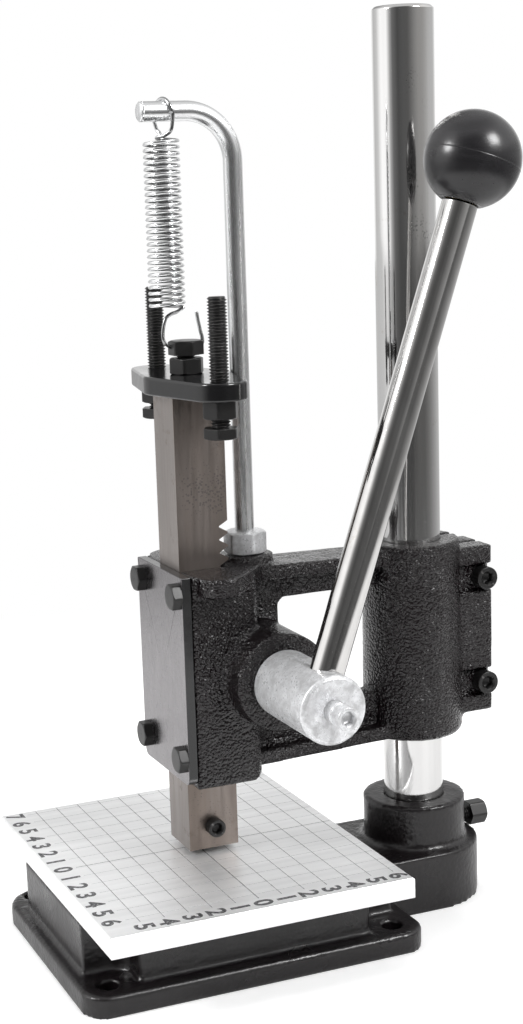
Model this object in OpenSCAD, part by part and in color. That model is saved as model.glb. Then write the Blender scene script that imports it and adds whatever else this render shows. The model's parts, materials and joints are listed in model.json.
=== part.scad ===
// Hand press for leather punching: a rack-driven ram in a head that rides on a round column.
// Millimetres. +Z is up, the ram is at the front (-Y), the column behind it (+Y), the lever on +X.
// The origin is on the table plane, below the ram's axis, midway between the four bench bolt holes.

/* [Base] */
// Width of the base flange
base_w = 123.6; // [121:0.2:140]
// How much less the base flange reaches on its far side than on the lever's side
base_far = 3.6; // [0:0.2:4]
// Depth of the base flange
base_d = 150.2; // [148:0.1:170]
// Thickness of the base flange
base_t = 9; // [7:0.5:12]
// Radius of the base flange's corners on the lever's side
base_corner_r = 11; // [8:0.5:16]
// Radius of the base flange's corners on its far side
base_far_corner_r = 17; // [8:0.5:17]
// Distance between the bench bolt holes, side to side
bolt_dx = 100; // [96:1:102]
// Distance between the bench bolt holes, front to back
bolt_dy = 126; // [122:1:128]
// Diameter of the bench bolt holes
bolt_hole_d = 8.6; // [6:0.1:10]
// Width of the raised plinth
plinth_w = 108; // [100:1:114]
// Depth of the raised plinth
plinth_d = 139; // [134:1:144]
// Height of the plinth's top above the table
plinth_top = 30.5; // [28:0.5:40]
// Distance from a bench bolt hole to the plinth's wall beside it
bolt_room = 12; // [10:0.5:14]
// Corner radius of the recess around a bench bolt hole
recess_r = 9; // [4:0.5:10]
// Half width and end radius of the tail under the column
tail_r = 28; // [25:0.5:32]
// Height of the tail's top above the table
tail_top = 25.5; // [22:0.5:27]
// Radius of the column's socket
socket_r = 22.5; // [20:0.5:24]
// Height of the socket's top above the table
socket_top = 45.3; // [44:0.1:52]
// Fillet where the socket meets the tail
socket_fillet = 3; // [1:0.5:5]
// Thickness of metal left under the column
socket_floor = 4; // [3:0.5:8]
// Distance from the socket's top down to the lock bolt
lock_bolt_drop = 14.8; // [14:0.1:18]
// Thickness of the plinth's side walls over the hollow underside
base_wall = 12; // [10:0.5:16]
// Thickness of the plinth's top over the hollow underside
base_roof = 10.5; // [8:0.5:12]

/* [Work plate] */
// Width of the work plate
plate_w = 149; // [120:1:170]
// Depth of the work plate
plate_d = 130.4; // [120:0.1:136]
// Thickness of the work plate
plate_t = 8.4; // [7:0.1:12]
// Distance from the ram's axis to the work plate's middle, towards the front
plate_shift = 4.2; // [0:0.1:8]
// Bevel around the work plate's edges
plate_bevel = 0.6; // [0.2:0.1:1.5]
// Distance between the work plate's screws, side to side
plate_screw_dx = 50; // [40:1:60]
// Distance between the work plate's screws, front to back
plate_screw_dy = 76; // [60:1:84]

/* [Column] */
// Distance from the ram's axis to the column's axis
throat = 102; // [98:1:130]
// Diameter of the column
column_d = 26.2; // [24:0.1:28]
// Height of the column's top above the table
column_top = 386; // [350:1:460]
// Bevel on the column's ends
column_bevel = 1.2; // [0.5:0.1:2]

/* [Head] */
// Gap between the work plate and the ram's foot at rest
ram_gap = 2.3; // [2.3:0.1:20]
// Height of the head's underside above the ram's foot
ram_show = 30.8; // [28:0.1:36]
// Width of the head's front block
block_w = 50.7; // [46:0.1:56]
// How much farther the front block reaches on its far side than on the lever's side
block_far = 3.3; // [0:0.1:4]
// Distance from the ram's axis to the back of the front block
block_back = 20; // [19:0.5:24]
// Radius of the front block's upright back edges
block_edge_r = 7; // [3:0.5:8]
// Height of the front block, underside to top
block_h = 90; // [88:0.5:96]
// Thickness of the stop flange on top of the front block
flange_t = 8; // [6:0.5:10]
// Distance from the ram's axis to the middle of a stop flange lobe
flange_lobe_x = 27; // [25:0.5:34]
// Radius of a stop flange lobe
flange_lobe_r = 9; // [8:0.5:10]
// Radius of the stop flange's end around the spring post
flange_post_r = 10; // [9:0.5:11]
// Radius of the raised seat under the spring post's nut
post_seat_r = 11.5; // [10.5:0.5:13]
// Height of that seat above the stop flange
post_seat_h = 2.3; // [1:0.1:4]
// Width of the arm's upper and lower flanges
arm_w = 24; // [20:0.5:30]
// Thickness of the arm's upper and lower flanges
arm_flange_t = 6; // [5:0.5:8]
// Thickness of the arm's web
arm_web_t = 10; // [8:0.5:14]
// Drop of the arm's top from the block to the sleeve
arm_top_drop = 2.4; // [0:0.1:4]
// Rise of the arm's underside from the block to the sleeve
arm_foot_rise = 3.4; // [0:0.1:5]
// Height of the window's foot above the head's underside
window_rise = 24; // [22:0.5:26]
// Distance from the shaft's axis to the window's front edge
window_inset = 12.4; // [11:0.1:16]
// Height of the window through the arm's web
window_h = 48; // [30:1:49]
// Corner radius of the window
window_r = 3.5; // [2:0.5:8]
// Radius of the column sleeve at its foot
sleeve_r = 22; // [20.5:0.1:25]
// Height of the sleeve's foot above the head's underside
sleeve_rise = 2.8; // [2:0.2:6]
// Height of the column sleeve
sleeve_h = 86.9; // [80:0.1:88]
// Rounding of the sleeve's lower edge
sleeve_round = 4; // [2:0.5:5]
// Width of the clamp lug behind the sleeve
lug_w = 24; // [22:0.5:28]
// Distance from the column's axis to the back of the clamp lug
lug_reach = 34; // [33.5:0.1:38]
// Distance from the sleeve's foot up to the clamp lug's foot
lug_foot_inset = 7.2; // [4:0.2:8]
// Distance from the sleeve's top down to the clamp lug's top
lug_top_inset = 4.7; // [3:0.1:8]
// Width of the clamp slit
slit_w = 2.4; // [1.5:0.1:4]
// Height of the shaft's axis above the head's underside
shaft_rise = 44.4; // [43:0.1:46]
// Radius of the shaft boss
boss_r = 20.4; // [19:0.1:22]
// Distance from the middle plane to the shaft boss's face
boss_reach = 36.2; // [32:0.1:40]
// Fillet around the shaft boss
boss_fillet = 3.2; // [1:0.1:4]
// Thickness of the face plate
face_t = 4; // [3:0.1:6]
// Height of the face plate
face_h = 87.7; // [84:0.1:89]
// Radius of the face plate's lower corners
face_r = 4; // [1:0.5:5]

/* [Ram and pinion] */
// Width and depth of the square ram
ram_w = 22; // [20:0.5:24]
// Length of the ram
ram_h = 192.7; // [188:0.1:200]
// Diameter of the tool socket in the ram's foot
tool_d = 10; // [6:0.5:11]
// Depth of the tool socket
tool_depth = 25; // [20:1:30]
// Tooth size of the rack and pinion: tooth pitch over pi
tooth_module = 1.75; // [1.7:0.05:1.8]
// Number of pinion teeth
pinion_teeth = 16; // [16:1:17]
// Number of spaces between the rack's teeth
rack_spaces = 17; // [15:1:17]
// Height of the rack's first space above the shaft's axis
rack_rise = 62.3; // [58:0.1:64]
// Width of the pinion
pinion_w = 22; // [18:0.5:23]
// Diameter of the pinion shaft
shaft_d = 18; // [16:0.5:19]
// Outer diameter of the shaft bushes
bush_d = 24; // [23:0.5:26]

/* [Lever] */
// Diameter of the lever's hub
hub_d = 28; // [27:0.5:32]
// Length of the lever's hub
hub_len = 45; // [42:0.5:50]
// Distance from the hub's outer end to the lever rod's axis
rod_inset = 14.4; // [12:0.1:16]
// Tilt of the lever at rest, from upright towards the column
lever_tilt = 19.1; // [10:0.1:30]
// Diameter of the lever rod
rod_d = 14; // [12:0.5:15]
// Distance from the shaft's axis to the ball knob's middle
lever_reach = 218; // [160:1:260]
// Diameter of the ball knob
knob_d = 38; // [32:0.5:44]

/* [Stops and spring] */
// Distance between the two stop bolts
stop_dx = 68; // [66:0.5:76]
// Width of the stop plate's ends
stop_w = 22; // [20:0.5:24]
// Radius of the stop plate's middle
stop_mid_r = 18.2; // [16:0.1:18.4]
// Thickness of the stop plate
stop_t = 7.5; // [6:0.5:10]
// Length of a stop bolt under its head
stop_len = 51.2; // [46:0.1:60]
// Gap between the left stop bolt's head and its lock nut
stop_show_left = 2.4; // [1:0.1:6]
// Gap between the right stop bolt's head and its lock nut
stop_show_right = 3.6; // [1:0.1:6]
// Diameter of the spring post
post_d = 8; // [6:0.1:9]
// Height of the post's upper arm above the stop flange
post_rise = 183.8; // [180:0.1:200]
// Bend radius of the spring post
post_bend = 20; // [14:0.5:22]
// Distance from the ram's axis to the post's upright part
post_y = 23.4; // [23:0.1:26]
// Distance from the ram's axis to the free end of the post's arm
post_tip_y = 16.4; // [14:0.1:20]
// Diameter of the spring's wire
wire_d = 1.5; // [1.2:0.1:1.6]
// Outer diameter of the spring's coils
coil_d = 15; // [12:0.1:16]
// Number of coils
coil_turns = 27; // [16:1:27]
// Distance from the ram's axis to the spring's axis, towards the front
coil_shift = 7.3; // [6:0.1:8]

/* [Hidden] */
$fn = 96;

// Overrun of every cut past the face that it starts from
over = 1;
// Radial clearance of a shaft or screw in its hole
fit = 0.05;
// Gap on each side of the sliding ram
slide_gap = 0.2;
// Gap between two parts of different bodies that only pass each other
air = 0.3;
// Distance that a web's side lies inside the tangent of its two circles
web_ease = 0.02;

// Standard screws, as [shank diameter, head size, head height, key size]
m5_cap = [5, 8.5, 5, 4];
m6_cap = [6, 10, 6, 5];
m6_hex = [6, 10, 4, 0];
m8_hex = [8, 13, 5.3, 0];
// Height of an eight millimetre nut
m8_nut_h = 6.6;
// Turn that puts a hexagon's flats square to X
flat_turn = 30;
// Share of a head's height that its key socket takes
socket_share = 0.55;

// Base
base_bolt_x = bolt_dx / 2;
base_bolt_y = bolt_dy / 2;
hollow_top = plinth_top - base_roof;
hollow_r = 10;
plate_top = plinth_top + plate_t;
plate_screw_bite = plate_t * 0.7;
lock_bolt_z = socket_top - lock_bolt_drop;
lock_bolt_stand = 4.9;
lock_bolt_head = 8;

// Head heights
ram_foot = plate_top + ram_gap;
block_foot = ram_foot + ram_show;
block_top = block_foot + block_h;
block_mid = -block_far / 2;
block_near = block_w / 2 + block_mid;
seat_top = block_top + post_seat_h;
sleeve_foot = block_foot + sleeve_rise;
sleeve_top = sleeve_foot + sleeve_h;
sleeve_draft = 1;
head_h = max(block_top, sleeve_top) - block_foot;
lug_foot = sleeve_foot + lug_foot_inset;
lug_top = sleeve_top - lug_top_inset;
lug_back = throat + lug_reach;
sleeve_bore_r = column_d / 2 + fit;

// Rack and pinion: full depth teeth with 30 degree flanks
pressure = 30;
addendum = tooth_module;
dedendum = tooth_module * 1.15;
// Play taken off each flank of the pinion's teeth
play = 0.06;
pitch_r = tooth_module * pinion_teeth / 2;
base_r = pitch_r * cos(pressure);
tip_r = pitch_r + addendum;
tooth_pitch = tooth_module * PI;
rack_top_z = block_foot + shaft_rise + rack_rise;
rack_tip_y = ram_w / 2;
shaft_y = rack_tip_y - addendum + pitch_r;
shaft_z = block_foot + shaft_rise;
shaft_bore_r = shaft_d / 2 + fit;

// Ram guide, in the front block
guide_x = ram_w / 2 + slide_gap;
guide_front = -ram_w / 2 - slide_gap;
face_foot = block_foot + (block_h - face_h) * 0.92;
face_bolt_shift = 2.1;
face_bolt_x = (block_w / 2 + guide_x) / 2 + face_bolt_shift;
face_bolt_mid = block_mid * 0.6;
face_bolt_inset = 8;
face_bolt_rise = 11;
face_bolt_bite = 16;

// Arm
arm_top_step = 1.5;
arm_foot_step = 1;
arm_top_front = block_top - arm_top_step;
arm_top_back = arm_top_front - arm_top_drop;
arm_foot_front = block_foot + arm_foot_step;
arm_foot_back = arm_foot_front + arm_foot_rise;
window_foot = block_foot + window_rise;
window_front = shaft_y + window_inset;

// Clamp screws
clamp_back_inset = 3.8;
clamp_foot_inset = 13.4;
clamp_top_inset = 14.2;
clamp_flat_depth = 3;
clamp_end_gap = 1;
clamp_screw_y = lug_back - clamp_back_inset;
clamp_screw_z = [lug_foot + clamp_foot_inset, lug_top - clamp_top_inset];
clamp_flat_x = lug_w / 2 - clamp_flat_depth;
clamp_flat_h = 11.5;
clamp_flat_len = 17;

// Shaft, bushes and hub
pinion_end_gap = 1;
pinion_tip_gap = 0.6;
far_boss_stand = 2.3;
far_boss_wall = 4;
hub_gap = 0.4;
rod_to_shaft = 4;
cavity_x = pinion_w / 2 + pinion_end_gap;
far_boss_x = block_w - block_near + far_boss_stand;
far_boss_r = bush_d / 2 + far_boss_wall;
hub_start = boss_reach + hub_gap;
hub_end = hub_start + hub_len;
rod_x = hub_end - rod_inset;
shaft_in_hub = rod_inset + rod_d / 2 + rod_to_shaft;
key_w = 5;
key_end_gap = 2;
key_depth = 2.5;
key_stand = 2.3;
key_len = pinion_w - 2 * key_end_gap;
key_root = shaft_d / 2 - key_depth;
key_crown = shaft_d / 2 + key_stand;
grub_d = 6;
grub_bite = 2;
grub_inset = 7;
washer_t = 2;

// Lever, measured along its own axis from the shaft's axis
rod_start = -rod_d * 0.55;
knob_r = knob_d / 2;
knob_flat_r = knob_d * 0.224;
knob_neck = lever_reach - sqrt(knob_r * knob_r - knob_flat_r * knob_flat_r);
insert_r = 6;
insert_len = 14;
stud_r = 4;
flat_depth = 1.4;
rod_flat_gap = 0.8;
hub_flat = hub_d / 2 - flat_depth;

// Ram's foot and top, and the stops
tool_screw_rise = 9.5;
tool_screw_z = ram_foot + tool_screw_rise;
ram_top = ram_foot + ram_h;
stop_top = ram_top + stop_t;
stop_r = stop_w / 2;
stop_x = stop_dx / 2;
stop_head_h = 4.3;
stop_nut_h = 7.4;
top_bolt_bite = 20;
top_bolt_gap = 1.2;
top_bolt_extra_h = 0.5;
top_hole_rise = 3;
top_bolt_head_z = stop_top + m8_nut_h + top_bolt_gap;
top_hole_z = top_bolt_head_z + top_hole_rise;
top_hole_gap = 0.6;
top_hole_r = wire_d / 2 + top_hole_gap;

// Spring post
post_r = post_d / 2;
post_arm_z = block_top + post_rise;
post_bite = 18;
post_nut_size = 16;
post_nut_h = 9.4;

// Return spring, one wire from hook to hook
coil_r = (coil_d - wire_d) / 2;
lower_hook_len = 16.2;
upper_hook_len = 11.3;
hook_gap = 0.15;
coil_foot = top_hole_z + lower_hook_len;
coil_head = post_arm_z - upper_hook_len;
coil_sides = 6;
coil_rings = 8;
hook_r = post_r + wire_d / 2 + hook_gap;
loop_lean = 2;
head_side = m8_hex[1] / 2;

// Colours
casting_black = [0.13, 0.13, 0.14];
bolt_black = [0.09, 0.09, 0.1];
plate_white = [0.9, 0.9, 0.89];
bright_steel = [0.78, 0.79, 0.8];
dull_steel = [0.42, 0.4, 0.38];
satin_steel = [0.66, 0.66, 0.67];
zinc = [0.74, 0.75, 0.74];
bronze = [0.72, 0.55, 0.3];
knob_black = [0.07, 0.07, 0.07];

// Flat plate with rounded upright edges, centred on X and Y
module slab(w, d, h, r) {
    linear_extrude(h) {
        square([w - 2 * r, d], center = true);
        square([w, d - 2 * r], center = true);
        for (sx = [-1, 1], sy = [-1, 1])
            translate([sx * (w / 2 - r), sy * (d / 2 - r)])
                circle(r);
    }
}

// Area between two circles' outer tangents. Its sides lie a hair inside the tangents, so that
// they cross the circles at a clear angle
module web(p1, r1, p2, r2) {
    s1 = r1 - web_ease;
    s2 = r2 - web_ease;
    u = (p2 - p1) / norm(p2 - p1);
    c = (r1 - r2) / norm(p2 - p1);
    s = sqrt(1 - c * c);
    left = [c * u.x - s * u.y, c * u.y + s * u.x];
    right = [c * u.x + s * u.y, c * u.y - s * u.x];
    polygon([p1 + s1 * left, p2 + s2 * left, p2 + s2 * right, p1 + s1 * right]);
}

// Hexagonal prism of a given size across its flats
module hexagon(flats, h) {
    cylinder(r = flats / 2 / cos(30), h = h, $fn = 6);
}

// Hexagon head or nut with its corners turned off at 30 degrees at the top
module hex_head(flats, h) {
    crown_r = flats * 0.475;
    intersection() {
        hexagon(flats, h);
        cylinder(r1 = crown_r + h / tan(30), r2 = crown_r, h = h);
    }
}

// Cylinder with a bevel on its upper edge
module bevelled(r, h, b) {
    cylinder(r = r, h = h - b);
    translate([0, 0, h - b])
        cylinder(r1 = r, r2 = r - b, h = b);
}

// Socket head screw: the head stands on Z = 0 and the shank points down
module cap_screw(size, len) {
    bevel = size[2] * 0.08;
    translate([0, 0, -len])
        cylinder(d = size[0], h = len + bevel);
    difference() {
        bevelled(size[1] / 2, size[2], bevel);
        translate([0, 0, size[2] * (1 - socket_share)])
            hexagon(size[3], size[2]);
    }
}

// Hexagon head bolt: the head stands on Z = 0 and the shank points down
module hex_bolt(size, head_h, len) {
    translate([0, 0, -len])
        cylinder(d = size[0], h = len + head_h / 2);
    hex_head(size[1], head_h);
}

// Hexagon nut standing on Z = 0
module nut(size, h) {
    difference() {
        hex_head(size[1], h);
        translate([0, 0, -over])
            cylinder(d = size[0] + 2 * fit, h = h + 2 * over);
    }
}

// Turned ring whose section is the hollow corner of a fillet, around a boss of radius r
module fillet_ring(r, f) {
    rotate_extrude()
        translate([r - fit, 0])
            difference() {
                square([f + fit, f]);
                translate([f + fit, f])
                    circle(f);
            }
}

// Points the children's Z axis along +X
module along_x() {
    rotate([0, 90, 0])
        children();
}

// Places the children at the shaft's axis, with Z along +X
module at_shaft() {
    translate([0, shaft_y, shaft_z])
        along_x()
            children();
}

// Places the children at the lever rod, with Z along the rod
module at_lever() {
    translate([rod_x, shaft_y, shaft_z])
        rotate([-lever_tilt, 0, 0])
            children();
}

// Area outside the plinth around a bench bolt hole, with a rounded inner corner
module bolt_recess() {
    reach = bolt_room + base_w / 2;
    translate([recess_r, 0])
        square([reach, reach]);
    translate([0, recess_r])
        square([reach, reach]);
    translate([recess_r, recess_r])
        circle(recess_r);
}

module plinth() {
    linear_extrude(plinth_top)
        difference() {
            square([plinth_w, plinth_d], center = true);
            for (sx = [0, 1], sy = [0, 1])
                mirror([sx, 0])
                    mirror([0, sy])
                        translate([base_bolt_x - bolt_room, base_bolt_y - bolt_room])
                            bolt_recess();
        }
}

module base_flange() {
    far_half = base_w / 2 - base_far;
    linear_extrude(base_t) {
        for (sy = [-1, 1])
            mirror([0, (1 - sy) / 2]) {
                flange_corner(base_w / 2, base_corner_r);
                mirror([1, 0])
                    flange_corner(far_half, base_far_corner_r);
            }
    }
}

// Quarter of the flange on the +X and +Y side, out to the given reach along X
module flange_corner(reach, r) {
    square([reach - r, base_d / 2]);
    square([reach, base_d / 2 - r]);
    translate([reach - r, base_d / 2 - r])
        circle(r);
}

module base_casting() {
    color(casting_black)
        difference() {
            union() {
                base_flange();
                plinth();
                linear_extrude(tail_top) {
                    translate([0, throat])
                        circle(tail_r);
                    translate([-tail_r, 0])
                        square([2 * tail_r, throat]);
                }
                translate([0, throat, 0])
                    cylinder(r = socket_r, h = socket_top);
                translate([0, throat, tail_top])
                    fillet_ring(socket_r, socket_fillet);
            }
            for (sx = [-1, 1], sy = [-1, 1])
                translate([sx * base_bolt_x, sy * base_bolt_y, -over])
                    cylinder(d = bolt_hole_d, h = base_t + 2 * over);
            translate([0, 0, -over])
                slab(plinth_w - 2 * base_wall, bolt_dy - 2 * base_wall, hollow_top + over, hollow_r);
            plate_screw_places()
                cylinder(d = m5_cap[0] + 2 * fit, h = plinth_top + over);
            translate([0, throat, socket_floor])
                cylinder(r = column_d / 2 + fit, h = socket_top);
            translate([0, throat, lock_bolt_z])
                rotate([-90, 0, 0])
                    cylinder(d = m6_hex[0] + 2 * fit, h = tail_r + over);
        }
}

// The four places of the work plate's screws
module plate_screw_places() {
    for (sx = [-1, 1], sy = [-1, 1])
        translate([sx * plate_screw_dx / 2, sy * plate_screw_dy / 2 - plate_shift, 0])
            children();
}

module work_plate() {
    color(plate_white)
        difference() {
            translate([0, -plate_shift, plinth_top])
                bevelled_plate(plate_w, plate_d, plate_t, plate_bevel);
            plate_screw_places()
                translate([0, 0, plinth_top - over])
                    cylinder(d = m5_cap[0] + 2 * fit, h = plate_screw_bite + over + fit);
        }
}

// Rectangular plate with bevels along all its upper edges
module bevelled_plate(w, d, t, b) {
    intersection() {
        translate([-w / 2, d / 2, 0])
            rotate([90, 0, 0])
                linear_extrude(d)
                    polygon([[0, 0], [w, 0], [w, t - b], [w - b, t], [b, t], [0, t - b]]);
        translate([-w / 2, -d / 2, 0])
            rotate([90, 0, 90])
                linear_extrude(w)
                    polygon([[0, 0], [d, 0], [d, t - b], [d - b, t], [b, t], [0, t - b]]);
    }
}

module work_plate_screws() {
    color(bolt_black)
        plate_screw_places()
            translate([0, 0, hollow_top])
                mirror([0, 0, 1])
                    cap_screw(m5_cap, base_roof + plate_screw_bite);
}

module column() {
    color(bright_steel)
        translate([0, throat, socket_floor + fit]) {
            cylinder(r1 = column_d / 2 - column_bevel, r2 = column_d / 2, h = column_bevel);
            translate([0, 0, column_bevel])
                bevelled(column_d / 2, column_top - socket_floor - column_bevel - fit, column_bevel);
        }
}

module column_lock_bolt() {
    stand = socket_r + lock_bolt_stand;
    color(bolt_black)
        translate([0, throat + stand, lock_bolt_z])
            rotate([-90, 0, 0])
                hex_bolt(m6_hex, lock_bolt_head, stand - column_d / 2 - fit);
}

// Side outline of the front block, drawn with Y to the right and Z up
module block_side() {
    depth = block_back - guide_front;
    r = block_edge_r * 0.86;
    translate([guide_front, block_foot + r])
        square([depth, block_h - r]);
    translate([guide_front, block_foot])
        square([depth - r, block_h]);
    translate([block_back - r, block_foot + r])
        circle(r);
}

// Children drawn with Y to the right and Z up, spread across X by a width
module across(w) {
    translate([-w / 2, 0, 0])
        rotate([90, 0, 90])
            linear_extrude(w)
                children();
}

module front_block() {
    depth = block_back - guide_front;
    intersection() {
        translate([block_mid, 0, 0])
            across(block_w)
                block_side();
        translate([block_mid, guide_front, 0])
            linear_extrude(block_top) {
                translate([-block_w / 2, 0])
                    square([block_w, depth - block_edge_r]);
                translate([block_edge_r - block_w / 2, 0])
                    square([block_w - 2 * block_edge_r, depth]);
                for (s = [-1, 1])
                    translate([s * (block_w / 2 - block_edge_r), depth - block_edge_r])
                        circle(block_edge_r);
            }
    }
}

// Flange on top of the front block: two lobes for the stop bolts, joined to the post's seat
module stop_flange() {
    translate([0, 0, block_top - flange_t]) {
        linear_extrude(flange_t) {
            for (s = [-1, 1]) {
                translate([s * flange_lobe_x, 0])
                    circle(flange_lobe_r);
                web([s * flange_lobe_x, 0], flange_lobe_r, [0, post_y], flange_post_r);
            }
            web([-flange_lobe_x, 0], flange_lobe_r, [flange_lobe_x, 0], flange_lobe_r);
            translate([0, post_y])
                circle(flange_post_r);
        }
        translate([0, post_y, 0])
            cylinder(r = post_seat_r, h = flange_t + post_seat_h);
    }
}

// Window through the arm's web, drawn with Y to the right and Z up
module window_shape() {
    w = throat - window_front;
    translate([window_front + w / 2, window_foot + window_h / 2]) {
        square([w - 2 * window_r, window_h], center = true);
        square([w, window_h - 2 * window_r], center = true);
        for (sy = [-1, 1], sz = [-1, 1])
            translate([sy * (w / 2 - window_r), sz * (window_h / 2 - window_r)])
                circle(window_r);
    }
}

// Arm between the front block and the sleeve: a web between two flanges
module arm() {
    across(arm_web_t)
        difference() {
            polygon([
                [0, arm_foot_front], [throat, arm_foot_back],
                [throat, arm_top_back], [0, arm_top_front]
            ]);
            window_shape();
        }
    across(arm_w) {
        polygon([
            [0, arm_foot_front], [throat, arm_foot_back],
            [throat, arm_foot_back + arm_flange_t], [0, arm_foot_front + arm_flange_t]
        ]);
        polygon([
            [0, arm_top_front - arm_flange_t], [throat, arm_top_back - arm_flange_t],
            [throat, arm_top_back], [0, arm_top_front]
        ]);
    }
}

// Sleeve around the column, with a rounded foot and a slight draft
module sleeve() {
    translate([0, throat, sleeve_foot])
        rotate_extrude() {
            square([sleeve_r - sleeve_round, sleeve_round]);
            translate([sleeve_r - sleeve_round, sleeve_round])
                intersection() {
                    circle(sleeve_round);
                    translate([0, -sleeve_round])
                        square(sleeve_round);
                }
            polygon([
                [0, sleeve_round], [sleeve_r, sleeve_round],
                [sleeve_r - sleeve_draft, sleeve_h], [0, sleeve_h]
            ]);
        }
}

// Solid of the head before any hole is cut
module head_body() {
    front_block();
    stop_flange();
    arm();
    sleeve();
    translate([-lug_w / 2, throat, lug_foot])
        cube([lug_w, lug_reach, lug_top - lug_foot]);
    at_shaft() {
        translate([0, 0, -block_near])
            cylinder(r = boss_r, h = boss_reach + block_near);
        intersection() {
            translate([0, 0, block_near])
                fillet_ring(boss_r, boss_fillet);
            translate([-block_h / 2, -2 * boss_r, block_near])
                cube([block_h, block_back - block_edge_r - shaft_y + 2 * boss_r, boss_reach]);
        }
        translate([0, 0, -far_boss_x])
            cylinder(r = far_boss_r, h = far_boss_x);
    }
}

module head_casting() {
    color(casting_black)
        difference() {
            head_body();
            translate([-guide_x, guide_front - over, block_foot - over])
                cube([2 * guide_x, over + 2 * guide_x, block_h + post_seat_h + 2 * over]);
            at_shaft() {
                translate([0, 0, -cavity_x])
                    cylinder(r = tip_r + pinion_tip_gap, h = 2 * cavity_x);
                translate([0, 0, -far_boss_x - over])
                    cylinder(d = bush_d, h = far_boss_x + boss_reach + 2 * over);
            }
            translate([0, throat, block_foot - over])
                cylinder(r = sleeve_bore_r, h = head_h + 2 * over);
            translate([-slit_w / 2, throat, block_foot - over])
                cube([slit_w, lug_reach + over, head_h + 2 * over]);
            for (z = clamp_screw_z) {
                translate([-lug_w / 2 - over, clamp_screw_y, z])
                    along_x()
                        cylinder(d = m6_cap[0] + 2 * fit, h = lug_w + 2 * over);
                translate([clamp_flat_x, lug_back - clamp_flat_len, z - clamp_flat_h / 2])
                    cube([lug_w, clamp_flat_len + over, clamp_flat_h]);
            }
            face_bolt_places()
                cylinder(d = m6_hex[0] + 2 * fit, h = 2 * (face_bolt_bite + over), center = true);
            translate([0, post_y, seat_top - post_bite - fit])
                cylinder(r = post_r + fit, h = post_bite + over);
        }
}

// The four face plate bolts: Z points out of the block's front
module face_bolt_places() {
    for (s = [-1, 1], z = [face_foot + face_bolt_rise, face_foot + face_h - face_bolt_inset])
        translate([face_bolt_mid + s * face_bolt_x, guide_front, z])
            rotate([90, 0, 0])
                children();
}

module head_clamp_screws() {
    color(bolt_black)
        for (z = clamp_screw_z)
            translate([clamp_flat_x, clamp_screw_y, z])
                along_x()
                    cap_screw(m6_cap, clamp_flat_x + lug_w / 2 - clamp_end_gap);
}

module face_plate() {
    color(satin_steel)
        difference() {
            translate([block_mid, guide_front, 0])
                rotate([90, 0, 0])
                    linear_extrude(face_t) {
                        translate([-block_w / 2, face_foot + face_r])
                            square([block_w, face_h - face_r]);
                        translate([face_r - block_w / 2, face_foot])
                            square([block_w - 2 * face_r, face_h]);
                        for (s = [-1, 1])
                            translate([s * (block_w / 2 - face_r), face_foot + face_r])
                                circle(face_r);
                    }
            face_bolt_places()
                cylinder(d = m6_hex[0] + 2 * fit, h = 3 * face_t, center = true);
        }
}

module face_plate_bolts() {
    color(bolt_black)
        face_bolt_places()
            translate([0, 0, face_t])
                hex_bolt(m6_hex, m6_hex[2], face_t + face_bolt_bite);
}

// Bronze bush around the shaft, from x0 to x1
module bush(x0, x1) {
    color(bronze)
        at_shaft()
            translate([0, 0, x0])
                difference() {
                    cylinder(r = bush_d / 2 - fit, h = x1 - x0);
                    translate([0, 0, -over])
                        cylinder(r = shaft_bore_r, h = x1 - x0 + 2 * over);
                }
}

module bush_near() {
    bush(cavity_x, boss_reach);
}

module bush_far() {
    bush(-far_boss_x, -cavity_x);
}

// Bent post that the return spring hangs from
module spring_post() {
    tip_bevel = post_d * 0.12;
    foot = seat_top - post_bite;
    color(bright_steel) {
        translate([0, post_y, foot])
            cylinder(r = post_r, h = post_arm_z - post_bend - foot);
        translate([0, post_y - post_bend, post_arm_z - post_bend])
            rotate([90, 0, 90])
                rotate_extrude(angle = 90)
                    translate([post_bend, 0])
                        circle(post_r);
        translate([0, post_y - post_bend, post_arm_z])
            rotate([90, 0, 0])
                bevelled(post_r, post_y - post_bend + post_tip_y, tip_bevel);
    }
}

module post_nut() {
    color(zinc)
        translate([0, post_y, seat_top])
            nut([post_d, post_nut_size], post_nut_h);
}

// Involute of the base circle, turned so that a tooth is centred on angle 0
function involute(r) = let (a = acos(base_r / r)) (tan(a) * 180 / PI - a);
function half_tooth(r) =
    (90 / pinion_teeth - play / pitch_r * 180 / PI) + involute(pitch_r) - involute(max(r, base_r));
function polar(r, a) = [r * cos(a), r * sin(a)];

// One pinion tooth's outline points, from root to tip to root
function tooth_points(turn) =
    let (
        steps = 6,
        root = pitch_r - dedendum,
        radii = [for (i = [0:steps]) base_r + (tip_r - base_r) * i / steps]
    )
    concat(
        [polar(root, turn - half_tooth(base_r))],
        [for (r = radii) polar(r, turn - half_tooth(r))],
        [for (i = [steps:-1:0]) polar(radii[i], turn + half_tooth(radii[i]))],
        [polar(root, turn + half_tooth(base_r))]
    );

module pinion() {
    // The rack lies on the pinion's front side, and its spaces set the turn of the teeth
    facing_rack = 270;
    rack_turn = (rack_top_z - shaft_z) / pitch_r * 180 / PI;
    color(dull_steel)
        at_shaft()
            difference() {
                translate([0, 0, -pinion_w / 2])
                    linear_extrude(pinion_w)
                        polygon([
                            for (i = [0:pinion_teeth - 1])
                                each tooth_points(facing_rack - rack_turn + i * 360 / pinion_teeth)
                        ]);
                translate([0, 0, -pinion_w])
                    cylinder(r = shaft_bore_r, h = 2 * pinion_w);
                translate([-key_crown - fit, -key_w / 2 - fit, -pinion_w])
                    cube([key_crown, key_w + 2 * fit, 2 * pinion_w]);
            }
}

module pinion_key() {
    color(dull_steel)
        at_shaft()
            translate([-key_crown, -key_w / 2, -key_len / 2])
                cube([key_crown - key_root, key_w, key_len]);
}

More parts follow.
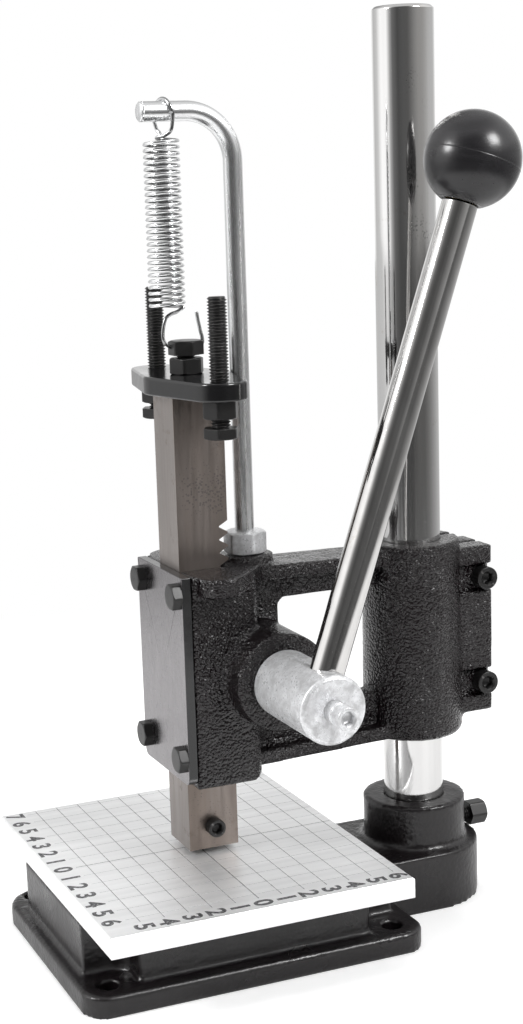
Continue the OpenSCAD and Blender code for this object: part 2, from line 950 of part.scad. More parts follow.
module pinion_shaft() {
    end = hub_end - shaft_in_hub;
    color(bright_steel)
        at_shaft()
            difference() {
                translate([0, 0, -far_boss_x - air])
                    bevelled(shaft_d / 2, end + far_boss_x + air, shaft_d * 0.04);
                translate([-key_crown, -key_w / 2 - fit, -key_len / 2 - fit])
                    cube([key_crown - key_root + fit, key_w + 2 * fit, key_len + 2 * fit]);
                translate([0, 0, -far_boss_x - air - over])
                    cylinder(d = m6_cap[0] + 2 * fit, h = shaft_d + over);
                grub_screw_place()
                    cylinder(r = grub_d / 2 + fit, h = hub_d);
            }
}

module shaft_end_washer() {
    color(zinc)
        at_shaft()
            translate([0, 0, -far_boss_x - air - washer_t])
                difference() {
                    cylinder(d = bush_d + 2 * washer_t, h = washer_t);
                    translate([0, 0, -over])
                        cylinder(d = m6_cap[0] + 2 * fit, h = washer_t + 2 * over);
                }
}

module shaft_end_screw() {
    color(bolt_black)
        at_shaft()
            translate([0, 0, -far_boss_x - air - washer_t])
                mirror([0, 0, 1])
                    cap_screw(m6_cap, washer_t + shaft_d * 0.9);
}

// The grub screw that locks the hub to the shaft, behind and below, with Z pointing outwards
module grub_screw_place() {
    turn = 45;
    translate([0, 0, hub_start + grub_inset])
        rotate([0, 90, turn])
            translate([0, 0, shaft_d / 2 - grub_bite])
                children();
}

module lever_hub() {
    bevel = hub_d * 0.05;
    color(zinc)
        difference() {
            at_shaft()
                difference() {
                    translate([0, 0, hub_start])
                        bevelled(hub_d / 2, hub_len, bevel);
                    translate([0, 0, hub_start - over])
                        cylinder(r = shaft_bore_r, h = hub_len - shaft_in_hub + over + fit);
                    translate([0, 0, rod_x])
                        cylinder(d = m6_cap[0] + 2 * fit, h = hub_len);
                    grub_screw_place()
                        cylinder(r = grub_d / 2 + fit, h = hub_d);
                }
            at_lever() {
                translate([0, 0, rod_start - fit])
                    cylinder(r = rod_d / 2 + fit, h = hub_d);
                translate([0, 0, hub_flat])
                    cylinder(r = rod_d / 2 + rod_flat_gap, h = hub_d);
            }
        }
}

module hub_grub_screw() {
    len = hub_d / 2 - shaft_d / 2 + grub_bite - fit - grub_d * 0.1;
    key_af = 3;
    color(bolt_black)
        at_shaft()
            grub_screw_place()
                translate([0, 0, fit])
                    difference() {
                        cylinder(r = grub_d / 2, h = len);
                        translate([0, 0, len / 2])
                            hexagon(key_af, len);
                    }
}

// Screw in the hub's end that bears on the lever rod, with a spacer under its head
module lever_clamp_screw() {
    spacer_r = m6_cap[1] * 0.46;
    spacer_len = 6.4;
    spacer_gap = 0.5;
    head_trim = 0.6;
    color(zinc)
        at_shaft()
            translate([0, 0, hub_end + spacer_len]) {
                cap_screw([m6_cap[0], m6_cap[1] - head_trim, m6_cap[2] + head_trim, m6_cap[3]],
                    spacer_len + rod_inset - rod_d / 2 - fit);
                translate([0, 0, -spacer_len])
                    cylinder(r = spacer_r, h = spacer_len - spacer_gap);
            }
}

module lever_rod() {
    color(bright_steel)
        at_lever() {
            translate([0, 0, rod_start])
                cylinder(d = rod_d, h = knob_neck - rod_start);
            cylinder(r = stud_r, h = knob_neck + insert_len * 0.86);
        }
}

module ball_knob() {
    color(knob_black)
        at_lever()
            difference() {
                translate([0, 0, lever_reach])
                    rotate_extrude()
                        intersection() {
                            circle(knob_r);
                            translate([0, knob_neck - lever_reach])
                                square([knob_d, knob_d]);
                        }
                translate([0, 0, knob_neck - over])
                    cylinder(r = insert_r + fit, h = insert_len + over + fit);
            }
}

module knob_insert() {
    color(bronze)
        at_lever()
            translate([0, 0, knob_neck])
                difference() {
                    cylinder(r = insert_r, h = insert_len);
                    translate([0, 0, -over])
                        cylinder(r = stud_r + fit, h = insert_len + 2 * over);
                }
}

// Outline of the ram with its rack, drawn with Y to the right and Z up
function rack_space(z) = [
    [rack_tip_y, z - rack_half(addendum)],
    [rack_tip_y - addendum - dedendum, z - rack_half(-dedendum)],
    [rack_tip_y - addendum - dedendum, z + rack_half(-dedendum)],
    [rack_tip_y, z + rack_half(addendum)]
];
// Half width of a tooth space at a height above the pitch line
function rack_half(h) = tooth_pitch / 4 + h * tan(pressure);

module ram() {
    tool_cone = tool_d * 0.3;
    color(dull_steel)
        difference() {
            across(ram_w)
                polygon(concat(
                    [[-ram_w / 2, ram_top], [-ram_w / 2, ram_foot], [ram_w / 2, ram_foot]],
                    [for (i = [rack_spaces - 1:-1:0]) each rack_space(rack_top_z - i * tooth_pitch)],
                    [[ram_w / 2, ram_top]]
                ));
            translate([0, 0, ram_foot - over])
                cylinder(d = tool_d, h = tool_depth + over);
            translate([0, 0, ram_foot + tool_depth - fit])
                cylinder(d1 = tool_d, d2 = 0, h = tool_cone);
            translate([0, 0, tool_screw_z])
                along_x()
                    cylinder(d = m5_cap[0] + 2 * fit, h = ram_w);
            translate([0, 0, ram_top - top_bolt_bite - fit])
                cylinder(d = m8_hex[0] + 2 * fit, h = top_bolt_bite + over);
        }
}

module tool_screw() {
    size = [m5_cap[0], 7.6, 4.4, m5_cap[3]];
    color(bolt_black)
        translate([ram_w / 2 + fit, 0, tool_screw_z])
            along_x()
                cap_screw(size, ram_w / 2 - tool_d / 2 - air);
}

// Places the children at one stop bolt: side is 1 for +X and -1 for -X
module at_stop(side) {
    translate([side * stop_x, 0, 0])
        children();
}

module stop_plate() {
    color(casting_black)
        translate([0, 0, ram_top])
            difference() {
                union() {
                    cylinder(r = stop_mid_r, h = stop_t);
                    for (s = [-1, 1]) {
                        at_stop(s)
                            cylinder(r = stop_r, h = stop_t);
                        linear_extrude(stop_t)
                            web([0, 0], stop_mid_r, [s * stop_x, 0], stop_r);
                    }
                }
                for (s = [-1, 0, 1])
                    at_stop(s)
                        translate([0, 0, -over])
                            cylinder(d = m8_hex[0] + 2 * fit, h = stop_t + 2 * over);
            }
}

module stop_lock_nuts() {
    color(bolt_black)
        for (s = [-1, 1])
            at_stop(s)
                translate([0, 0, ram_top])
                    rotate([180, 0, flat_turn])
                        nut(m8_hex, stop_nut_h);
}

// One stop bolt, head down: the head meets the stop flange at the end of the stroke
module stop_bolt(side, show) {
    color(bolt_black)
        at_stop(side)
            translate([0, 0, ram_top - stop_nut_h - show])
                rotate([180, 0, flat_turn])
                    hex_bolt(m8_hex, stop_head_h, stop_len);
}

module stop_bolt_right() {
    stop_bolt(1, stop_show_right);
}

module stop_bolt_left() {
    stop_bolt(-1, stop_show_left);
}

module ram_top_bolt() {
    color(bolt_black)
        translate([0, 0, top_bolt_head_z])
            difference() {
                hex_bolt(m8_hex, m8_hex[2] + top_bolt_extra_h, top_bolt_head_z - ram_top + top_bolt_bite);
                translate([0, 0, top_hole_z - top_bolt_head_z])
                    rotate([90, 0, 0])
                        cylinder(r = top_hole_r, h = 2 * m8_hex[1], center = true);
            }
}

module ram_top_nut() {
    color(bolt_black)
        translate([0, 0, stop_top])
            rotate([0, 0, flat_turn])
                nut(m8_hex, m8_nut_h);
}

// Curve through a list of points: a cubic between each pair, with even steps
function cubic(a, b, c, d, t) =
    0.5 * ((2 * b) + (c - a) * t + (2 * a - 5 * b + 4 * c - d) * t * t
        + (3 * b - a - 3 * c + d) * t * t * t);
function smooth(points, steps) = [
    for (i = [0:len(points) - 2], s = [0:steps - 1])
        cubic(points[max(i - 1, 0)], points[i], points[i + 1],
            points[min(i + 2, len(points) - 1)], s / steps)
];

// Centre line of the spring: lower hook, coils, upper hook
spring_y = -coil_shift;
hook_rise = coil_foot - top_hole_z;
lower_hook = [
    [0, head_side * 0.8, coil_foot - hook_rise * 0.13],
    [0, head_side * 0.88, coil_foot - hook_rise * 0.34],
    [0, head_side * 1.0, top_hole_z + hook_rise * 0.42],
    [0, head_side * 1.13, top_hole_z + hook_rise * 0.19],
    [0, head_side * 1.08, top_hole_z + hook_rise * 0.05],
    [0, head_side * 0.7, top_hole_z],
    [0, head_side * 0.25, top_hole_z],
    [0, -head_side * 0.25, top_hole_z],
    [0, -head_side * 0.8, top_hole_z],
    [0, -head_side * 1.2, top_hole_z + hook_rise * 0.07],
    [0, -head_side * 1.45, top_hole_z + hook_rise * 0.19],
    [0, -head_side * 1.5, top_hole_z + hook_rise * 0.36],
    [0, -head_side * 1.4, coil_foot - hook_rise * 0.4],
    [0, -head_side * 1.24, coil_foot - hook_rise * 0.25],
    [0, -head_side * 0.92, coil_foot - hook_rise * 0.16],
    [0, -head_side * 0.5, coil_foot - hook_rise * 0.11],
    [wire_d * 0.1, spring_y + coil_r * 0.86, coil_foot - hook_rise * 0.05]
];
coil_line = [
    for (i = [0:coil_turns * coil_rings])
        let (turn = 90 + i * 360 / coil_rings)
        [
            coil_r * cos(turn),
            spring_y + coil_r * sin(turn),
            coil_foot + (coil_head - coil_foot) * i / (coil_turns * coil_rings)
        ]
];
// Loop over the post, from low on its near side to low on its far side
loop_line = [
    for (turn = [110:-22:-110])
        [hook_r * sin(turn), spring_y * 0.83 + loop_lean * turn / 90, post_arm_z + hook_r * cos(turn)]
];
upper_hook = concat(
    [
        [-coil_r * 0.62, spring_y + coil_r * 0.66, coil_head + wire_d * 0.3],
        [-coil_r * 0.66, spring_y + coil_r * 0.05, coil_head + wire_d * 0.6],
        [-coil_r * 0.2, spring_y - coil_r * 0.12, coil_head + wire_d * 0.9],
        [coil_r * 0.3, spring_y + coil_r * 0.15, coil_head + wire_d * 1.3],
        [coil_r * 0.65, spring_y + coil_r * 0.42, coil_head + wire_d * 2.7]
    ],
    loop_line,
    [
        [-coil_r * 0.64, spring_y, coil_head + wire_d * 3.2],
        [-coil_r * 0.42, spring_y + coil_r * 0.1, coil_head + wire_d * 2.3]
    ]
);
spring_line = concat(
    smooth(concat(lower_hook, [coil_line[0], coil_line[1]]), 2),
    [for (i = [1:len(coil_line) - 2]) coil_line[i]],
    smooth(concat([coil_line[len(coil_line) - 1]], upper_hook), 2),
    [upper_hook[len(upper_hook) - 1]]
);

function unit(v) = v / norm(v);
function direction(line, i) = unit(line[min(i + 1, len(line) - 1)] - line[max(i - 1, 0)]);
// A side vector at each ring, carried along the line with no twist
function sides(line) = [
    for (i = 0, s = unit(cross(direction(line, 0), [1, 0, 0]));
        i < len(line);
        i = i + 1,
        s = i < len(line) ? unit(s - (s * direction(line, i)) * direction(line, i)) : s)
        s
];

// Closed tube of n sides along a line of points
module tube(line, r, n) {
    side = sides(line);
    last = len(line) - 1;
    points = [
        for (i = [0:last])
            let (d = direction(line, i), u = side[i], v = cross(d, u))
            for (k = [0:n - 1])
                line[i] + r * (cos(k * 360 / n) * u + sin(k * 360 / n) * v)
    ];
    walls = [
        for (i = [0:last - 1], k = [0:n - 1])
            let (a = i * n + k, b = i * n + (k + 1) % n)
            each [[a, a + n, b], [b, a + n, b + n]]
    ];
    foot_cap = [for (k = [1:n - 2]) [0, k, k + 1]];
    head_cap = [for (k = [1:n - 2]) [last * n, last * n + k + 1, last * n + k]];
    polyhedron(points, concat(walls, foot_cap, head_cap));
}

// Least gap between parts of the wire that lie more than half a coil apart
function least_gap(line, r) = min([
    for (i = [0:len(line) - 1], j = [i + 5:1:len(line) - 1])
        norm(line[i] - line[j]) - 2 * r
]);

module return_spring() {
    echo("least gap of the spring's wire to itself", least_gap(spring_line, wire_d / 2));
    color(zinc)
        tube(spring_line, wire_d / 2, coil_sides);
}

base_casting();
work_plate();
work_plate_screws();
column_lock_bolt();
column();
head_casting();
head_clamp_screws();
face_plate();
face_plate_bolts();
bush_near();
bush_far();
spring_post();
post_nut();
return_spring();
pinion();
pinion_key();
pinion_shaft();
shaft_end_washer();
shaft_end_screw();
lever_hub();
hub_grub_screw();
lever_clamp_screw();
lever_rod();
ball_knob();
knob_insert();
ram();
tool_screw();
stop_plate();
stop_lock_nuts();
ram_top_bolt();
ram_top_nut();
stop_bolt_right();
stop_bolt_left();
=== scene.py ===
"""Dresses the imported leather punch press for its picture.

The CAD model is the fixed frame. This script gives it cast, turned, threaded and printed detail,
a procedural finish for every surface, and a plain studio with the camera of the photograph.
Sizes in the dataclasses are millimetres, as in the part's source, and MM turns them into metres.
"""

import json
import logging
import math
from dataclasses import dataclass
from enum import Enum
from typing import Any, Callable, ClassVar

import bmesh
import bpy
import numpy as np
from mathutils import Matrix


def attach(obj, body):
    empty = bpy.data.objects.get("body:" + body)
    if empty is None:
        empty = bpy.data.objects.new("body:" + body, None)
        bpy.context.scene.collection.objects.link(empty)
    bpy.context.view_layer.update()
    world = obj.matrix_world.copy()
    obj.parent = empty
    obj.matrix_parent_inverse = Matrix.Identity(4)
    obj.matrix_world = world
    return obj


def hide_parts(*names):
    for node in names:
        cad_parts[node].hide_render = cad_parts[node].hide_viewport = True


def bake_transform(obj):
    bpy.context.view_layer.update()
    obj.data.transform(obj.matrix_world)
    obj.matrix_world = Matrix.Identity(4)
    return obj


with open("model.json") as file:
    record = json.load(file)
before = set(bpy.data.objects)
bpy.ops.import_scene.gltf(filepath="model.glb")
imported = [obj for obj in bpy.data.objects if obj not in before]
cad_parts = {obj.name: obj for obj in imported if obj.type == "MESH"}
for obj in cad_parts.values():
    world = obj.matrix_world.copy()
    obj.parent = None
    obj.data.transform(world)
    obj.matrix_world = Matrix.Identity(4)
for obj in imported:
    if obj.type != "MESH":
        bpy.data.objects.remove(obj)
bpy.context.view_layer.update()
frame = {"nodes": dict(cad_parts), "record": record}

MM = 0.001
FLOW = "flow"
FULL_TURN = 2 * math.pi
WHITE = (1.0, 1.0, 1.0)
Socket = Any
Stops = tuple[tuple[float, float], ...]
Piece = bpy.types.Object
Triple = tuple[float, float, float]
Place = Callable[[np.ndarray], np.ndarray]
log = logging.getLogger("punch_press")


class Body(str, Enum):
    """The CAD bodies that pieces ride on."""

    BASE = "base"
    COLUMN = "column"
    HEAD = "head"
    LEVER = "lever"
    RAM = "ram"
    STOP_RIGHT = "stop_bolt_right"
    STOP_LEFT = "stop_bolt_left"


class Slot(str, Enum):
    """The record's material slots."""

    CASTING = "casting_paint"
    STOP = "stop_paint"
    PLATE = "plate_metal"
    COLUMN = "column_chrome"
    LEVER = "lever_chrome"
    POST = "post_zinc"
    HUB = "hub_zinc"
    FACE = "face_steel"
    RAM = "ram_steel"
    GEAR = "gear_steel"
    BOLT = "bolt_black"
    SPRING = "spring_wire"
    BUSH = "bush_bronze"
    INSERT = "insert_brass"
    KNOB = "knob_plastic"


# Numbers


def unit(v: np.ndarray) -> np.ndarray:
    """Vectors scaled to length 1 along their last axis."""
    v = np.asarray(v, float)
    return v / np.linalg.norm(v, axis=-1, keepdims=True)


def ease(x: np.ndarray, low: float, high: float) -> np.ndarray:
    """0 below low, 1 above high, and 3t^2 - 2t^3 between them."""
    t = np.clip((np.asarray(x, float) - low) / (high - low), 0, 1)
    return t * t * (3 - 2 * t)


def lattice_noise(points: np.ndarray, cell: float, seed: int) -> np.ndarray:
    """Smooth noise from -1 to 1 at points.

    Each corner of a cubic lattice has a value hashed from its whole-number place, and a point
    takes the eight values round it, weighted by a quintic curve along each axis.

    Args:
        points: places in millimetres, one per row.
        cell: edge of a lattice cell in millimetres.
        seed: number that picks the field.

    Returns:
        One value per point.
    """
    position = points / cell
    whole = np.floor(position).astype(np.int64)
    part = position - whole
    part = part**3 * (part * (part * 6 - 15) + 10)
    total = np.zeros(len(points))
    for corner in np.ndindex(2, 2, 2):
        at = whole + np.array(corner)
        mixed = at[:, 0] * 73856093 ^ at[:, 1] * 19349663 ^ at[:, 2] * 83492791 ^ seed * 2654435
        mixed = (mixed ^ (mixed >> 13)) * 1274126177
        value = ((mixed ^ (mixed >> 16)) & 0xFFFF) / 32767.5 - 1
        total += value * np.prod(np.where(np.array(corner) == 1, part, 1 - part), axis=1)
    return total


def rounded_line(corners: list[Triple], steps: int = 4) -> np.ndarray:
    """Outline whose corners are rounded.

    Each corner (x, y, rounding) becomes the curve (1-s)^2 A + 2s(1-s) P + s^2 B, where A and B lie
    on its two sides at the rounding's distance from P. A point just outside A and B keeps the
    shading of the flats level.

    Args:
        corners: the corners in order, with the rounding of each. The ends stay as they are.
        steps: number of steps along each curve.

    Returns:
        Points, one per row.
    """
    points = np.array([c[:2] for c in corners], float)
    out = [points[0]]
    for i in range(1, len(corners) - 1):
        p, reach = points[i], corners[i][2]
        if reach <= 0:
            out.append(p)
            continue
        before, after = points[i - 1] - p, points[i + 1] - p
        a, b = p + reach * unit(before), p + reach * unit(after)
        guard = min(0.12, 0.2 * reach + 0.02)
        s = np.linspace(0, 1, steps + 1)[:, None]
        out.append(a + guard * unit(before))
        out.extend((1 - s) ** 2 * a + 2 * s * (1 - s) * p + s**2 * b)
        out.append(b + guard * unit(after))
    out.append(points[-1])
    return np.array(out)


@dataclass(frozen=True)
class Axis:
    """Where a turned piece stands: its origin, the way its own Z points, and where its X points."""

    origin: Triple = (0.0, 0.0, 0.0)
    along: Triple = (0.0, 0.0, 1.0)
    side: Triple = (1.0, 0.0, 0.0)

    def place(self, local: np.ndarray) -> np.ndarray:
        """Local points moved to the row frame: origin + x * side + y * (along x side) + z * along."""
        z = unit(np.array(self.along))
        side = np.array(self.side)
        x = unit(side - side.dot(z) * z)
        return np.array(self.origin) + local @ np.stack([x, np.cross(z, x), z])


# Meshes


def mesh_piece(name: str, points: np.ndarray, faces: np.ndarray, smooth: bool = True) -> Piece:
    """A new object from points in millimetres and faces that all have the same number of corners."""
    mesh = bpy.data.meshes.new(name)
    count, corners = faces.shape
    mesh.vertices.add(len(points))
    mesh.vertices.foreach_set("co", (points * MM).astype(np.float32).ravel())
    mesh.loops.add(count * corners)
    mesh.loops.foreach_set("vertex_index", faces.astype(np.int32).ravel())
    mesh.polygons.add(count)
    mesh.polygons.foreach_set("loop_start", np.arange(0, count * corners, corners, dtype=np.int32))
    mesh.polygons.foreach_set("use_smooth", np.full(count, smooth))
    mesh.update(calc_edges=True)
    piece = bpy.data.objects.new(name, mesh)
    bpy.context.scene.collection.objects.link(piece)
    return piece


def close_up(piece: Piece) -> Piece:
    """Merges the doubled points at poles and seams, and turns all the faces outwards."""
    bm = bmesh.new()
    bm.from_mesh(piece.data)
    bmesh.ops.remove_doubles(bm, verts=bm.verts, dist=1e-7)
    bmesh.ops.dissolve_degenerate(bm, edges=bm.edges, dist=1e-8)
    bmesh.ops.recalc_face_normals(bm, faces=bm.faces)
    bm.to_mesh(piece.data)
    bm.free()
    return piece


def grid_faces(rows: int, columns: int, ring: bool = False) -> np.ndarray:
    """Four-cornered faces of a grid that closes round its columns, and round its rows if ring is set."""
    i = np.arange(rows if ring else rows - 1)[:, None]
    j = np.arange(columns)[None, :]
    down, right = (i + 1) % rows, (j + 1) % columns
    corners = [i * columns + j, i * columns + right, down * columns + right, down * columns + j]
    return np.stack([np.broadcast_to(c, (len(i), columns)).ravel() for c in corners], 1)


def skin(name: str, grid: np.ndarray, ring: bool = False) -> Piece:
    """Closed surface through a grid of points, whose columns run round it."""
    rows, columns = grid.shape[:2]
    return close_up(mesh_piece(name, grid.reshape(-1, 3), grid_faces(rows, columns, ring)))


def hexagon_radius(angle: np.ndarray, flats: float) -> np.ndarray:
    """Radius of a hexagon with softened corners: the 36-norm of the three flats' slopes, inverted."""
    share = np.abs(np.cos(angle[..., None] - np.radians([30.0, 90.0, 150.0]))) / (flats / 2)
    return np.sum(share**36, axis=-1) ** (-1 / 36)


def turned_grid(rows: np.ndarray, axis: Axis, sides: int, flats: float = 0.0) -> np.ndarray:
    """Rings of a turned piece.

    A ring at row (r, z) has radius r. With flats, its radius at each angle is the lesser of r and
    the hexagon's, through the smooth minimum -k log(exp(-a/k) + exp(-b/k)).

    Args:
        rows: (radius, height) of each ring in millimetres.
        axis: where the piece stands.
        sides: number of points round a ring.
        flats: size across the hexagon's flats, or 0 for a round piece.

    Returns:
        Grid of points, rings by sides.
    """
    angle = np.arange(sides) * FULL_TURN / sides
    radius = np.repeat(rows[:, :1], sides, axis=1)
    if flats:
        k = 0.03
        radius = -k * np.logaddexp(-radius / k, -hexagon_radius(angle, flats)[None, :] / k)
        radius = np.where(rows[:, :1] <= 0, 0.0, radius)
    height = np.repeat(rows[:, 1:2], sides, axis=1)
    local = np.stack([radius * np.cos(angle), radius * np.sin(angle), height], -1)
    return axis.place(local)


def turned(name: str, corners: list[Triple], axis: Axis, sides: int = 96) -> Piece:
    """Turned piece from the corners (radius, height, rounding) of its section."""
    return skin(name, turned_grid(rounded_line(corners), axis, sides))


def hexagon_rows(flats: float, height: float, both_ends: bool) -> np.ndarray:
    """Rows of a hexagon head or nut: flat crown, 30 degree bevel, sides, and the same or a plain foot."""
    crown = 0.474 * flats
    corner = flats / math.sqrt(3)
    drop = (corner - crown) * math.tan(math.radians(30))
    fall = np.linspace(0, 1, 9)[1:]
    bevel = np.stack([crown + (corner + 0.3 - crown) * fall, height - drop * fall * 1.05], 1)
    top = np.array([[0.0, height], [crown * 0.5, height], [crown * 0.97, height], [crown, height - 0.01]])
    middle = np.array([[corner * 2, height - drop * 1.25], [corner * 2, height * 0.5]])
    upper = np.concatenate([top, bevel, middle])
    if both_ends:
        lower = upper[::-1] * [1, -1] + [0, height]
    else:
        lower = np.array([[corner * 2, 0.12], [corner * 2, 0.0], [crown, 0.0], [0.0, 0.0]])
    return np.concatenate([upper, lower])


def hexagon_piece(name: str, axis: Axis, flats: float, height: float, both_ends: bool = False) -> Piece:
    """Bolt head or nut standing on its axis' origin."""
    return skin(name, turned_grid(hexagon_rows(flats, height, both_ends), axis, 96, flats))


def socket_head(name: str, axis: Axis, radius: float, height: float, key: float, depth: float) -> Piece:
    """Socket screw's head standing on its axis' origin, with a hexagon hole in its crown."""
    rim, mouth, lead, foot = height * 0.09, height - key * 0.08, height - key * 0.12, height - depth
    outer = rounded_line([
        (0, 0, 0), (radius, 0, 0.15), (radius, height, rim), (key * 0.66, height, 0.1),
        (key * 0.6, mouth, 0),
    ])
    inner = np.array([[key, lead], [key, foot + 0.1], [key, foot], [key * 0.3, foot - 0.2], [0, foot - 0.5]])
    grid = np.concatenate([turned_grid(outer, axis, 96), turned_grid(inner, axis, 96, key)])
    return skin(name, grid)


def threaded_rod(name: str, axis: Axis, radius: float, pitch: float, low: float, high: float) -> Piece:
    """Rod with a right-hand thread.

    Its radius at angle a and height z is r - d * w, and no more than a cone allows near either end.
    w is the way down a thread's flank, ((1 - cos 2 pi (z / pitch - a / 2 pi)) / 2) ^ 0.8.
    """
    sides, per_turn = 40, 10
    depth = 0.6 * pitch
    height = np.linspace(low, high, max(int((high - low) / pitch * per_turn), 4))
    angle = np.arange(sides) * FULL_TURN / sides
    phase = height[:, None] / pitch - angle[None, :] / FULL_TURN
    groove = (0.5 - 0.5 * np.cos(FULL_TURN * phase)) ** 0.8
    allowed = radius - depth - 0.1 + np.minimum(height - low, high - height)[:, None]
    ring = np.minimum(radius - depth * groove, allowed)
    ring = np.concatenate([np.zeros((1, sides)), ring, np.zeros((1, sides))])
    height = np.concatenate([[low], height, [high]])[:, None] + 0 * ring
    local = np.stack([ring * np.cos(angle), ring * np.sin(angle), height], -1)
    return skin(name, axis.place(local))


def drawn_bar(name: str, line: np.ndarray, radius: np.ndarray, reference: np.ndarray, sides: int) -> Piece:
    """Round bar or wire along a line.

    The ring at each point is p + r (cos a u + sin a v): u is the reference vector made square to the
    line's direction t, and v is t x u. A pole closes each end. An attribute keeps each point's place
    on the straight bar, (r cos a, r sin a, length so far), for the finish to follow the bend.

    Args:
        name: the piece's name.
        line: points in millimetres.
        radius: radius at each point.
        reference: a vector at each point that is nowhere along the line.
        sides: number of points round a ring.

    Returns:
        The piece.
    """
    t = unit(np.gradient(line, axis=0))
    u = unit(reference - np.sum(reference * t, axis=1, keepdims=True) * t)
    v = np.cross(t, u)
    angle = np.arange(sides) * FULL_TURN / sides
    ring = np.cos(angle)[None, :, None] * u[:, None] + np.sin(angle)[None, :, None] * v[:, None]
    grid = line[:, None] + radius[:, None, None] * ring
    ends = [np.repeat(line[i][None, None], sides, axis=1) for i in (0, -1)]
    grid = np.concatenate([ends[0], grid, ends[1]])
    run = np.concatenate([[0.0], np.cumsum(np.linalg.norm(np.diff(line, axis=0), axis=1))])
    run = np.concatenate([run[:1], run, run[-1:]])[:, None] + 0 * angle
    across, over = radius.mean() * np.cos(angle) + 0 * run, radius.mean() * np.sin(angle) + 0 * run
    flow = np.stack([across, over, run], -1)
    piece = mesh_piece(name, grid.reshape(-1, 3), grid_faces(*grid.shape[:2]))
    layer = piece.data.attributes.new(FLOW, "FLOAT_VECTOR", "POINT")
    layer.data.foreach_set("vector", (flow * MM).astype(np.float32).ravel())
    return close_up(piece)


def plaque(name: str, outline: np.ndarray, section: np.ndarray, place: Place) -> Piece:
    """Flat piece whose edge profile is carried round its outline.

    Ring k is the outline moved inwards by section[k, 0] at height section[k, 1], and both faces
    close towards the outline's middle.

    Args:
        name: the piece's name.
        outline: closed outline, counterclockwise, in millimetres.
        section: (inset, height) rows from the lower face's edge to the upper face's edge.
        place: turns local (x, y, height) points into the row frame.

    Returns:
        The piece.
    """
    tangent = unit(np.roll(outline, -1, axis=0) - np.roll(outline, 1, axis=0))
    inwards = np.stack([-tangent[:, 1], tangent[:, 0]], 1)
    rings = outline[None] + section[:, 0, None, None] * inwards[None]
    heights = np.broadcast_to(section[:, 1, None, None], rings.shape[:2] + (1,))
    grid = np.concatenate([rings, heights], -1)
    middle = np.append(outline.mean(0), 0.0)
    shrink = np.array([0.0, 0.5, 0.97])[:, None, None]
    lower = middle + [0, 0, section[0, 1]] + (grid[0] - middle - [0, 0, section[0, 1]]) * shrink
    upper = middle + [0, 0, section[-1, 1]] + (grid[-1] - middle - [0, 0, section[-1, 1]]) * shrink[::-1]
    return skin(name, place(np.concatenate([lower, grid, upper])))


def edge_section(thickness: float, rounding: float) -> np.ndarray:
    """Edge profile of a plate with both edges rounded: (inset, height) rows."""
    corners = [(rounding * 2, 0, 0), (0, 0, rounding), (0, thickness, rounding), (rounding * 2, thickness, 0)]
    return rounded_line(corners, 6)


def welded(node: str) -> tuple[np.ndarray, np.ndarray]:
    """A CAD node's points in millimetres and triangles, with its loose triangles joined."""
    mesh = frame["nodes"][node].data
    points = np.zeros(len(mesh.vertices) * 3, np.float32)
    mesh.vertices.foreach_get("co", points)
    mesh.calc_loop_triangles()
    triangles = np.zeros(len(mesh.loop_triangles) * 3, np.int32)
    mesh.loop_triangles.foreach_get("vertices", triangles)
    joined, index = np.unique(np.round(points.reshape(-1, 3), 7), axis=0, return_inverse=True)
    triangles = index.ravel()[triangles].reshape(-1, 3)
    kept = (triangles[:, 0] != triangles[:, 1]) & (triangles[:, 1] != triangles[:, 2])
    kept &= triangles[:, 2] != triangles[:, 0]
    return joined.astype(float) / MM, triangles[kept]


def settled(piece: Piece) -> Piece:
    """Applies a piece's modifiers to its mesh."""
    graph = bpy.context.evaluated_depsgraph_get()
    graph.update()
    mesh = bpy.data.meshes.new_from_object(piece.evaluated_get(graph))
    piece.modifiers.clear()
    piece.data = mesh
    return piece


def softened(name: str, node: str, width: float) -> Piece:
    """Copy of a CAD node with its edges broken by a small round bevel."""
    points, triangles = welded(node)
    piece = mesh_piece(name, points, triangles)
    bm = bmesh.new()
    bm.from_mesh(piece.data)
    bmesh.ops.dissolve_limit(bm, angle_limit=math.radians(0.4), verts=bm.verts, edges=bm.edges)
    bm.to_mesh(piece.data)
    bm.free()
    bevel = piece.modifiers.new("edge", "BEVEL")
    bevel.width, bevel.segments = width * MM, 2
    bevel.limit_method, bevel.angle_limit = "ANGLE", math.radians(32)
    bevel.use_clamp_overlap = True
    level = piece.modifiers.new("level", "WEIGHTED_NORMAL")
    level.keep_sharp = True
    return piece


def neighbour_mean(points: np.ndarray, edges: np.ndarray) -> np.ndarray:
    """The mean of the points that share an edge with each point."""
    both = np.concatenate([edges, edges[:, ::-1]])
    count = np.bincount(both[:, 0], minlength=len(points))[:, None]
    total = np.stack([np.bincount(both[:, 0], points[both[:, 1], k], len(points)) for k in range(3)], 1)
    return total / np.maximum(count, 1)


